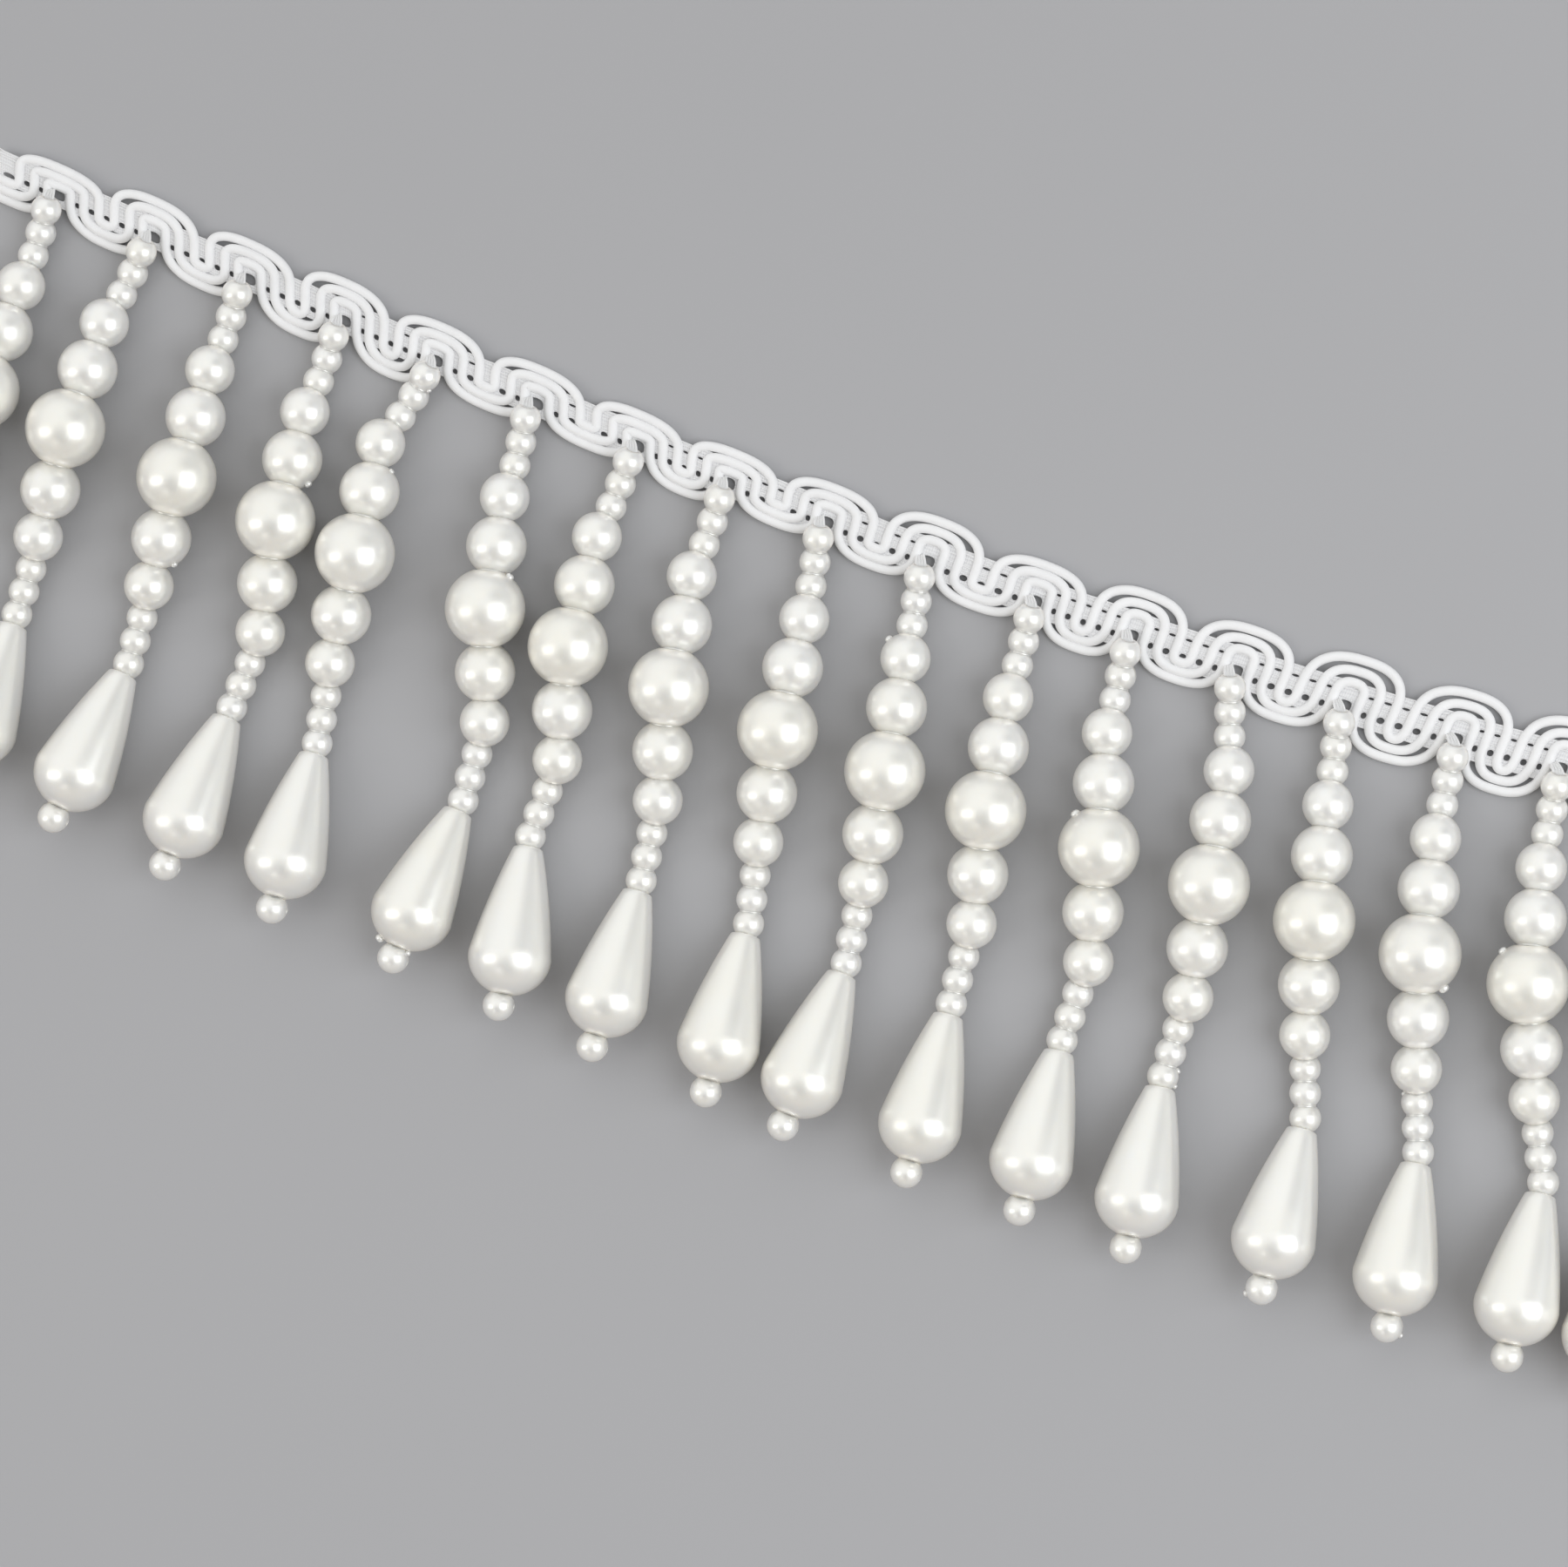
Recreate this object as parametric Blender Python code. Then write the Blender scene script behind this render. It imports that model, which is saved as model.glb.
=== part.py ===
"""A cut length of beaded trim, lying flat: a scalloped gimp braid and seventeen strands of pearls.

+X runs along the braid, the strands lie towards -Y, +Z is up and the surface under the trim is z = 0.
Sizes and places are named in millimetres, and the meshes are made in metres.
"""
import math
from collections import namedtuple

import bmesh
import bpy
from mathutils import Vector

MM = 0.001

# Where the two ends of the braid's centre line lie, which puts the origin under the middle of the trim
BRAID_ENDS_Y = 19.246
BRAID_MIDDLE_X = -2.832

# The braid's gentle bow over its half length: how far its middle lies below the line through its ends,
# and how much deeper the bow is to the right of the middle than to the left
BOW_SAG = 2.5
BOW_SKEW = 0.35
BOW_HALF = 56.8

# The braid across: a knitted ground, and three cords that meander over it side by side
GROUND_THICK = 0.50
GROUND_HALF_WIDTH = 1.25
CORD_RADIUS = 0.33
CORD_TOP_Z = 1.02
GROOVE_Z = 0.75
CLOSE_CORDS = 0.70
APART_CORDS = 1.00
ARC_STEPS = 5
ARC_POWER = 0.8
LEG_STRAIGHT = 0.4

# Each cord's leg as a share of the way from an arch's middle to the next valley's middle,
# and how many cords lie above it at an arch's top and below it at a valley's bottom
Cord = namedtuple("Cord", "leg_share cords_above cords_below")
CORDS = (
    Cord(leg_share=0.84, cords_above=0, cords_below=2),
    Cord(leg_share=0.52, cords_above=1, cords_below=1),
    Cord(leg_share=0.24, cords_above=2, cords_below=0),
)

# How far apart the cords lie at an arch's top and at a valley's bottom: at least this, or as a share
CREST_SPACING = 0.60
CREST_SPACING_SHARE = 0.28
DIP_SPACING = 0.56
DIP_SPACING_SHARE = 0.235
LEAST_ARC_HEIGHT = 0.25
DIRECTION_STEP = 0.1

# How far beyond the middle of its outermost valleys the braid is cut
CUT_BEYOND = 1.0

# The notch under each arch, where the first pearl hangs over the edge and the second lies below it
NOTCH_T = -1.55
NOTCH_GAP = 0.46
NOTCH_SIDES = 12
NOTCH_DEPTH = 2.0

# Pearls: outer diameter, and the length along the thread between their flat ends
Pearl = namedtuple("Pearl", "diameter length")
SMALL = Pearl(2.06, 1.60)
MEDIUM_SMALL = Pearl(3.30, 2.96)
MEDIUM = Pearl(4.00, 3.60)
LARGE = Pearl(5.30, 4.84)
END = Pearl(2.10, 1.50)
DROP_DIAMETER = 5.50
DROP_TOP_DIAMETER = 1.94
DROP_TO_WIDEST = 7.30
DROP_BELOW_WIDEST = 2.60
DROP_SIDE_BULGE = 0.35
DROP_RIM_STEP = 0.15

# Heights above the surface: the middles of the first pearl, over the braid's edge, of the drop where it
# is widest, and of the end pearl
FIRST_LIES_AT = 1.50
DROP_LIES_AT = 2.75
END_LIES_AT = 2.90

# Where the rings stand that shape a pearl: shares of a round pearl's radius to either side of its middle,
# and shares of the way from the drop's top to its widest point, and from there to its round bottom
BELLY_SHARE = 0.32
SHOULDER_SHARE = 0.70
SHOULDER_RADIUS = 0.76
DROP_SIDE_SHARES = (0.0, 0.45, 0.80, 1.0)
DROP_CAP_SHARES = (0.50, 0.85)
STRAND_SIDES = 8
SHARP_ANGLE = 60
WELD = 0.001

# A strand's pearls after the first, each with the column of the table that turns the thread above it
STRINGING = (
    (SMALL, "top"), (SMALL, "top"), (MEDIUM_SMALL, "top"), (MEDIUM, "upper"), (LARGE, "upper"),
    (MEDIUM, "lower"), (MEDIUM_SMALL, "lower"), (SMALL, "foot"), (SMALL, "foot"), (SMALL, "foot"),
)

# One row for each strand and the arch that it hangs from, from left to right:
# place along the braid, height of the arch above the centre line and depth of the valley after it (mm),
# the lean of the arch's legs, and the swing of the strand's stretches towards +X (degrees)
Strand = namedtuple("Strand", "place crest dip lean top upper lower foot drop tail")
STRANDS = (
    Strand(-56.8, 1.35, 2.00, 21, 2, 1, 4, 4, 4, 2),
    Strand(-49.7, 1.90, 1.95, 23, -7, 2, 4, 3, 4, 2),
    Strand(-42.6, 1.85, 2.20, 24, 1, 5, 4, 4, -3, -5),
    Strand(-35.5, 2.00, 2.30, 22, 0, 7, 11, -2, 0, -2),
    Strand(-28.8, 1.85, 1.75, 15, -13, 9, 6, 10, 8, 5),
    Strand(-21.5, 1.80, 1.55, 19, 6, 12, 19, 4, -2, -2),
    Strand(-14.1, 1.60, 1.95, 20, -2, 7, 14, 0, 13, 8),
    Strand(-7.6, 1.60, 1.60, 12, 1, 10, 14, 8, 6, 4),
    Strand(-0.6, 1.90, 1.90, 7, 11, 8, 10, 13, 8, 6),
    Strand(6.5, 2.35, 2.00, -1, 11, 11, 9, 8, 1, -2),
    Strand(14.1, 2.05, 2.30, 2, 6, 10, 13, 6, 7, 5),
    Strand(20.7, 2.50, 2.10, -2, 8, 17, 15, 2, 7, 7),
    Strand(27.8, 2.50, 2.40, -4, 20, 11, 10, 3, 9, 8),
    Strand(35.1, 2.80, 2.80, -8, 13, 14, 16, 21, 6, 7),
    Strand(42.6, 2.70, 2.80, -7, 9, 13, 19, 22, 10, 11),
    Strand(49.4, 2.70, 2.70, -6, 10, 14, 24, 27, 8, 10),
    Strand(56.8, 2.50, 2.50, -6, 7, 12, 20, 20, 8, 8),
)

GIMP_COLOUR = (0.86, 0.86, 0.87, 1.0)
GIMP_ROUGHNESS = 0.75
PEARL_COLOUR = (0.90, 0.88, 0.82, 1.0)
PEARL_ROUGHNESS = 0.3


def clear_scene():
    for obj in list(bpy.data.objects):
        bpy.data.objects.remove(obj, do_unlink=True)


def new_collection(name):
    collection = bpy.data.collections.new(name)
    bpy.context.scene.collection.children.link(collection)
    return collection


def new_material(name, colour, roughness):
    material = bpy.data.materials.new(name)
    material.use_nodes = True
    shader = material.node_tree.nodes["Principled BSDF"]
    shader.inputs["Base Color"].default_value = colour
    shader.inputs["Roughness"].default_value = roughness
    return material


def between(value, low, high):
    return max(low, min(high, value))


def valley_middles():
    """The middles of the valleys, from the one before the first arch to the one after the last."""
    middles = [row.place for row in STRANDS]
    inner = [(a + b) / 2 for a, b in zip(middles, middles[1:])]
    first = middles[0] - (inner[0] - middles[0])
    last = middles[-1] + (middles[-1] - inner[-1])
    return [first] + inner + [last]


def cut_places():
    """The places along the braid of its two cut ends."""
    valleys = valley_middles()
    return valleys[0] - CUT_BEYOND, valleys[-1] + CUT_BEYOND


def lean_at(along):
    """The tangent of the legs' lean at a place along the braid, read between the rows of the table."""
    places = [row.place for row in STRANDS]
    leans = [math.tan(math.radians(row.lean)) for row in STRANDS]
    along = between(along, places[0], places[-1])
    for left, right, lean_left, lean_right in zip(places, places[1:], leans, leans[1:]):
        if along <= right:
            share = (along - left) / (right - left)
            return lean_left + share * (lean_right - lean_left)
    return leans[-1]


def centre_line(along):
    """The braid's centre line at a place along it, in millimetres."""
    share = along / BOW_HALF
    sag = BOW_SAG * (1 - share * share) * (1 + BOW_SKEW * share)
    return Vector((BRAID_MIDDLE_X + along, BRAID_ENDS_Y - sag))


def run_at(along):
    """The direction of the centre line at a place along the braid."""
    return (centre_line(along + DIRECTION_STEP) - centre_line(along - DIRECTION_STEP)).normalized()


def on_braid(along, t):
    """A point t millimetres from the centre line, away from the fringe, in the lean of the legs."""
    run = run_at(along)
    return centre_line(along) + Vector((-run.y, run.x)) * t - run * (lean_at(along) * t)


def hang_place(row):
    """Where a strand's first pearl hangs, square below its arch's middle."""
    run = run_at(row.place)
    return centre_line(row.place) + Vector((-run.y, run.x)) * NOTCH_T


def arc(left, right, height):
    """A flattened arch from one leg to the next: pairs of place along and distance across."""
    middle = (left + right) / 2
    half = (right - left) / 2
    base = math.copysign(min(LEG_STRAIGHT, abs(height) / 2), height)
    points = []
    for step in range(ARC_STEPS + 1):
        turn = math.pi * step / ARC_STEPS
        sideways = math.copysign(abs(math.cos(turn)) ** ARC_POWER, -math.cos(turn))
        points.append((middle + half * sideways, base + (height - base) * math.sin(turn) ** ARC_POWER))
    return points


def legs_of(cord, arch):
    """Where a cord's two legs stand on either side of an arch's middle."""
    valleys = valley_middles()
    middle = STRANDS[arch].place
    left = middle - cord.leg_share * (middle - valleys[arch])
    right = middle + cord.leg_share * (valleys[arch + 1] - middle)
    return left, right


def crest_of(cord, row):
    """The height of a cord over the centre line at the top of its arch."""
    spacing = max(CREST_SPACING, CREST_SPACING_SHARE * row.crest)
    return max(LEAST_ARC_HEIGHT, row.crest - cord.cords_above * spacing)


def depth_of(cord, row):
    """The depth of a cord under the centre line at the bottom of the valley after an arch."""
    spacing = max(DIP_SPACING, DIP_SPACING_SHARE * row.dip)
    return max(LEAST_ARC_HEIGHT, row.dip - cord.cords_below * spacing)


def arch_points(cord, arch):
    left, right = legs_of(cord, arch)
    return arc(left, right, crest_of(cord, STRANDS[arch]))


def valley_points(cord, arch):
    """A cord's dip through the valley that follows an arch."""
    left = legs_of(cord, arch)[1]
    right = legs_of(cord, arch + 1)[0]
    return arc(left, right, -depth_of(cord, STRANDS[arch]))


def end_dip(cord, arch, side):
    """Half of a valley at a cut end of the braid, from the leg to the cut."""
    leg = legs_of(cord, arch)[1 if side > 0 else 0]
    middle = valley_middles()[-1 if side > 0 else 0]
    cut = cut_places()[1 if side > 0 else 0]
    depth = depth_of(cord, STRANDS[arch])
    half = (ARC_STEPS + 1) // 2
    if side > 0:
        return arc(leg, 2 * middle - leg, -depth)[:half] + [(cut, -depth)]
    return [(cut, -depth)] + arc(2 * middle - leg, leg, -depth)[half:]


def cord_route(cord):
    """One cord from end to end of the braid: over each arch and through each valley."""
    last = len(STRANDS) - 1
    route = end_dip(cord, 0, -1)
    for arch in range(last + 1):
        route += arch_points(cord, arch)
        if arch < last:
            route += valley_points(cord, arch)
    route += end_dip(cord, last, 1)
    return [on_braid(along, t) for along, t in route]


def as_solid(curve, collection):
    """The curve made a closed mesh object of the same name, and the curve removed."""
    name = curve.name
    depsgraph = bpy.context.evaluated_depsgraph_get()
    mesh = bpy.data.meshes.new_from_object(curve.evaluated_get(depsgraph))
    bpy.data.objects.remove(curve, do_unlink=True)
    shape = bmesh.new()
    shape.from_mesh(mesh)
    bmesh.ops.remove_doubles(shape, verts=shape.verts, dist=WELD * MM)
    bmesh.ops.recalc_face_normals(shape, faces=shape.faces)
    shape.to_mesh(mesh)
    shape.free()
    solid = bpy.data.objects.new(name, mesh)
    collection.objects.link(solid)
    return solid


def dress(mesh, material):
    """The material, and smooth shading with its sharp rims kept."""
    mesh.materials.append(material)
    mesh.shade_smooth()
    mesh.set_sharp_from_angle(angle=math.radians(SHARP_ANGLE))


def cut_away(target, cutter):
    modifier = target.modifiers.new(cutter.name, "BOOLEAN")
    modifier.operation = "DIFFERENCE"
    modifier.solver = "EXACT"
    modifier.object = cutter
    cutter.hide_render = True
    cutter.display_type = "WIRE"


def cords_section(outer, middle, inner):
    """Across the three cords: a ridge on each, with a groove between that is shallow where they lie close."""
    section = [(outer + (outer - middle).normalized() * CORD_RADIUS, GROUND_THICK), (outer, CORD_TOP_Z)]
    for this, following in ((outer, middle), (middle, inner)):
        apart = between(((following - this).length - CLOSE_CORDS) / (APART_CORDS - CLOSE_CORDS), 0, 1)
        groove_z = GROOVE_Z + apart * (GROUND_THICK - GROOVE_Z)
        section += [(this.lerp(following, 0.5), groove_z), (following, CORD_TOP_Z)]
    section.append((inner + (inner - middle).normalized() * CORD_RADIUS, GROUND_THICK))
    return section


def loft_cords(shape):
    """The raised cords as rows of vertices along their meander, with faces between the rows."""
    rows = []
    for outer, middle, inner in zip(*(cord_route(cord) for cord in CORDS)):
        section = cords_section(outer, middle, inner)
        rows.append([shape.verts.new((place.x * MM, place.y * MM, z * MM)) for place, z in section])
    for row, following in zip(rows, rows[1:]):
        for index in range(len(row) - 1):
            shape.faces.new((row[index], row[index + 1], following[index + 1], following[index]))
    return rows


def fill_ground(shape, rows):
    """The knitted ground inside each arch and each valley. Returns the upper and the lower edge."""
    arc_rows = ARC_STEPS + 1
    end_rows = len(end_dip(CORDS[0], 0, -1))
    arches = [end_rows + 2 * arc_rows * index for index in range(len(STRANDS))]
    outer_edge = [row[0] for row in rows]
    inner_edge = [row[-1] for row in rows]
    rims = []
    for cut in cut_places():
        place = on_braid(cut, GROUND_HALF_WIDTH)
        rims.append(shape.verts.new((place.x * MM, place.y * MM, GROUND_THICK * MM)))
    for start in arches:
        shape.faces.new(inner_edge[start - 1:start + arc_rows + 1])
    shape.faces.new([rims[0]] + outer_edge[:end_rows + 2])
    for start in arches[:-1]:
        shape.faces.new(outer_edge[start + arc_rows - 2:start + 2 * arc_rows + 2])
    shape.faces.new(outer_edge[arches[-1] + arc_rows - 2:] + [rims[1]])
    upper = [rims[0]]
    lower = inner_edge[:end_rows]
    for start in arches:
        upper += outer_edge[start + 1:start + arc_rows - 1]
        lower += inner_edge[start + arc_rows:start + 2 * arc_rows]
    return upper + [rims[1]], lower


def close_braid(shape, rows, upper, lower):
    """Walls round the braid's edge and its cut ends, and its flat back."""
    edge = upper + rows[-1] + lower[-2::-1] + rows[0][-2::-1]
    back = [shape.verts.new((vert.co.x, vert.co.y, 0.0)) for vert in edge]
    for index in range(len(edge)):
        beside = (index + 1) % len(edge)
        shape.faces.new((edge[index], edge[beside], back[beside], back[index]))
    shape.faces.new(back)


def build_notches(name, pearl, cutters):
    """The clear round spaces in the braid round one pearl of every strand, as one cutter."""
    shape = bmesh.new()
    radius = SMALL.diameter / 2 + NOTCH_GAP
    for row in STRANDS:
        middle = strand_centres(row)[pearl]
        made = bmesh.ops.create_cone(
            shape, cap_ends=True, segments=NOTCH_SIDES, radius1=radius * MM, radius2=radius * MM,
            depth=NOTCH_DEPTH * MM)
        bmesh.ops.translate(shape, verts=made["verts"], vec=(middle.x * MM, middle.y * MM, GROUND_THICK * MM))
    mesh = bpy.data.meshes.new(name)
    shape.to_mesh(mesh)
    shape.free()
    notches = bpy.data.objects.new(name, mesh)
    cutters.objects.link(notches)
    return notches


def build_braid(collection, cutters, material):
    shape = bmesh.new()
    rows = loft_cords(shape)
    upper, lower = fill_ground(shape, rows)
    close_braid(shape, rows, upper, lower)
    bmesh.ops.recalc_face_normals(shape, faces=shape.faces)
    mesh = bpy.data.meshes.new("gimp_braid")
    shape.to_mesh(mesh)
    shape.free()
    dress(mesh, material)
    braid = bpy.data.objects.new("gimp_braid", mesh)
    collection.objects.link(braid)
    cut_away(braid, build_notches("first_notches", 0, cutters))
    cut_away(braid, build_notches("second_notches", 1, cutters))


def swing_step(row, column, length, rise):
    """A step of the thread: its length and rise, turned by the strand's swing in the plan."""
    flat = math.sqrt(length * length - rise * rise)
    turn = math.radians(getattr(row, column))
    return Vector((flat * math.sin(turn), -flat * math.cos(turn), rise))


def strand_centres(row):
    """The centres of the strand's round pearls and the drop's widest point and the end pearl."""
    hang = hang_place(row)
    centres = [Vector((hang.x, hang.y, FIRST_LIES_AT))]
    above = SMALL
    for pearl, column in STRINGING:
        length = (pearl.length + above.length) / 2
        centres.append(centres[-1] + swing_step(row, column, length, pearl.diameter / 2 - centres[-1].z))
        above = pearl
    to_widest = above.length / 2 + DROP_TO_WIDEST
    centres.append(centres[-1] + swing_step(row, "drop", to_widest, DROP_LIES_AT - centres[-1].z))
    to_end = DROP_BELOW_WIDEST + END.length / 2
    centres.append(centres[-1] + swing_step(row, "tail", to_end, END_LIES_AT - DROP_LIES_AT))
    return centres


def pearl_rings(pearl):
    """Offsets along the thread and radii of a round pearl's rings, with a flat belly to lie on."""
    radius = pearl.diameter / 2
    belly = BELLY_SHARE * radius
    rings = [(-belly, radius), (belly, radius)]
    if pearl is LARGE:
        shoulder = SHOULDER_SHARE * radius
        narrower = SHOULDER_RADIUS * radius
        rings = [(-shoulder, narrower)] + rings + [(shoulder, narrower)]
    return rings


def end_radius(pearl):
    """The radius of a pearl's flat ends."""
    return math.sqrt(pearl.diameter ** 2 - pearl.length ** 2) / 2


def drop_rings():
    """The drop from its narrow top to its round bottom, measured from its widest point."""
    radius, top = DROP_DIAMETER / 2, DROP_TOP_DIAMETER / 2
    rings = []
    for share in DROP_SIDE_SHARES:
        swell = (1 + DROP_SIDE_BULGE) * share - DROP_SIDE_BULGE * share * share
        rings.append(((share - 1) * DROP_TO_WIDEST, top + (radius - top) * swell))
    for share in DROP_CAP_SHARES:
        rings.append((share * DROP_BELOW_WIDEST, radius * math.sqrt(1 - share * share)))
    return rings


def direction(start, end):
    return (end - start).normalized()


def level(run):
    """A direction turned level, so that a pearl's belly lies flat on the surface."""
    return Vector((run.x, run.y, 0.0)).normalized()


def strand_profile(row):
    """Points along a strand and the radius at each: pearl after pearl, fused at their necks."""
    centres = strand_centres(row)
    pearls = [SMALL] + [pearl for pearl, _ in STRINGING]
    points, radii = [], []

    def add(point, radius):
        points.append(point)
        radii.append(radius)

    for index, pearl in enumerate(pearls):
        before = centres[max(index - 1, 0)]
        after = centres[index + 1]
        along = level(direction(before, after))
        if index == 0:
            add(centres[0] - along * pearl.length / 2, end_radius(pearl))
        for offset, radius in pearl_rings(pearl):
            add(centres[index] + along * offset, radius)
        if index + 1 < len(pearls):
            neighbour = pearls[index + 1]
            share = pearl.length / (pearl.length + neighbour.length)
            neck = centres[index].lerp(centres[index + 1], share)
            add(neck, min(end_radius(pearl), end_radius(neighbour)))
    along = direction(centres[-3], centres[-2])
    add(centres[-3] + along * (SMALL.length / 2 - DROP_RIM_STEP), end_radius(SMALL))
    for offset, radius in drop_rings():
        add(centres[-2] + along * offset, radius)
    along = level(direction(centres[-2], centres[-1]))
    add(centres[-1] - along * END.length / 2, end_radius(END))
    for offset, radius in pearl_rings(END):
        add(centres[-1] + along * offset, radius)
    add(centres[-1] + along * END.length / 2, end_radius(END))
    return points, radii


def build_strand(number, row, collection, material):
    """One strand as a curve with a radius at each point, swept with a facet down and made a mesh."""
    name = f"strand_{number:02d}"
    data = bpy.data.curves.new(name, "CURVE")
    data.dimensions = "3D"
    data.bevel_depth = MM
    data.bevel_resolution = STRAND_SIDES // 2 - 2
    data.use_fill_caps = True
    data.twist_mode = "Z_UP"
    half_side = math.pi / STRAND_SIDES
    places, radii = strand_profile(row)
    spline = data.splines.new("POLY")
    spline.points.add(len(places) - 1)
    for point, place, radius in zip(spline.points, places, radii):
        point.co = (place.x * MM, place.y * MM, place.z * MM, 1.0)
        point.tilt = half_side
        point.radius = radius / math.cos(half_side)
    curve = bpy.data.objects.new(name, data)
    collection.objects.link(curve)
    bpy.context.view_layer.update()
    dress(as_solid(curve, collection).data, material)


def main():
    clear_scene()
    trim = new_collection("beaded_trim")
    cutters = new_collection("beaded_trim_cutters")
    gimp = new_material("gimp", GIMP_COLOUR, GIMP_ROUGHNESS)
    pearl = new_material("pearl", PEARL_COLOUR, PEARL_ROUGHNESS)
    build_braid(trim, cutters, gimp)
    for number, row in enumerate(STRANDS, start=1):
        build_strand(number, row, trim, pearl)


main()
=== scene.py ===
"""Dresses a cut length of beaded trim: pearls on their threads under a scalloped gimp braid.

The lay of the trim follows named sizes in millimetres and one table of strands; meshes are in metres.
+X runs along the braid, the strands lie towards -Y, and the surface under the trim is z = 0.
"""
import logging
import math
import random
from collections.abc import Sequence
from dataclasses import dataclass, field
from enum import Enum

import bmesh
import bpy
from mathutils import Matrix, Vector

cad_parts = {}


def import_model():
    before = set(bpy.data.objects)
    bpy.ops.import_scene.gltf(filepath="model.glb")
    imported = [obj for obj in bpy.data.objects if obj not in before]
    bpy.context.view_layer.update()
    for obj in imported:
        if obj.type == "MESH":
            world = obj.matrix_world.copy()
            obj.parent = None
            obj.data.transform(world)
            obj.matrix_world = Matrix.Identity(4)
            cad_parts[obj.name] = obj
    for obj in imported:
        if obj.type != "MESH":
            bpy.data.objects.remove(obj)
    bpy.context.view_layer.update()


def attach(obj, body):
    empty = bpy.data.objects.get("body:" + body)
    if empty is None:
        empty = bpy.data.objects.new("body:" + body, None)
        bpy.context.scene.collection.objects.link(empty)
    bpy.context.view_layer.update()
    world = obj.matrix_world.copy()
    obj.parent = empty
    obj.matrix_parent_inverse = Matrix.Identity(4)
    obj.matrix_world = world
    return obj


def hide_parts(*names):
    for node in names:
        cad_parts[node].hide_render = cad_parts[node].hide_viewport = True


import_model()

MM = 0.001
# most values of a noise pattern lie between these two
NOISE_LOW, NOISE_HIGH = 0.3, 0.7
EVEN_GLOW = (1.0, 1.0, 1.0)
THREAD_GLOW_DEPTH = 0.0003

log = logging.getLogger("beaded_trim")


class PearlKind(Enum):
    """The shapes on a strand, in the order of their names in the shelf of shapes."""

    SMALL = 0
    MEDIUM_SMALL = 1
    MEDIUM = 2
    LARGE = 3
    DROP = 4
    END = 5
    NUB = 6
    COLLAR = 7


class Swing(Enum):
    """The stretches of a strand that can swing on their own."""

    TOP = "top"
    UPPER = "upper"
    LOWER = "lower"
    FOOT = "foot"
    DROP = "drop"
    TAIL = "tail"


@dataclass(frozen=True)
class StrandRow:
    """One strand and the arch that it hangs from.

    place is along the braid, crest is the arch's height above the centre line and dip the depth of the
    valley after it, in millimetres. lean is that of the arch's legs, and the rest are the swings of the
    strand's stretches towards +X, in degrees.
    """

    place: float
    crest: float
    dip: float
    lean: float
    top: float
    upper: float
    lower: float
    foot: float
    drop: float
    tail: float

    def swing(self, stretch: Swing) -> float:
        """The swing of one stretch, in radians."""
        return math.radians(getattr(self, stretch.value))


STRANDS: tuple[StrandRow, ...] = (
    StrandRow(-56.8, 1.35, 2.00, 21, 2, 1, 4, 4, 4, 2),
    StrandRow(-49.7, 1.90, 1.95, 23, -7, 2, 4, 3, 4, 2),
    StrandRow(-42.6, 1.85, 2.20, 24, 1, 5, 4, 4, -3, -5),
    StrandRow(-35.5, 2.00, 2.30, 22, 0, 7, 11, -2, 0, -2),
    StrandRow(-28.8, 1.85, 1.75, 15, -13, 9, 6, 10, 8, 5),
    StrandRow(-21.5, 1.80, 1.55, 19, 6, 12, 19, 4, -2, -2),
    StrandRow(-14.1, 1.60, 1.95, 20, -2, 7, 14, 0, 13, 8),
    StrandRow(-7.6, 1.60, 1.60, 12, 1, 10, 14, 8, 6, 4),
    StrandRow(-0.6, 1.90, 1.90, 7, 11, 8, 10, 13, 8, 6),
    StrandRow(6.5, 2.35, 2.00, -1, 11, 11, 9, 8, 1, -2),
    StrandRow(14.1, 2.05, 2.30, 2, 6, 10, 13, 6, 7, 5),
    StrandRow(20.7, 2.50, 2.10, -2, 8, 17, 15, 2, 7, 7),
    StrandRow(27.8, 2.50, 2.40, -4, 20, 11, 10, 3, 9, 8),
    StrandRow(35.1, 2.80, 2.80, -8, 13, 14, 16, 21, 6, 7),
    StrandRow(42.6, 2.70, 2.80, -7, 9, 13, 19, 22, 10, 11),
    StrandRow(49.4, 2.70, 2.70, -6, 10, 14, 24, 27, 8, 10),
    StrandRow(56.8, 2.50, 2.50, -6, 7, 12, 20, 20, 8, 8),
)


def smooth(value: float, low: float, high: float) -> float:
    """A smooth step from 0 at low to 1 at high."""
    share = max(0.0, min(1.0, (value - low) / (high - low)))
    return share * share * (3 - 2 * share)


def world(point: Sequence[float]) -> Vector:
    """A place in millimetres, in metres."""
    return Vector(point) * MM


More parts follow.
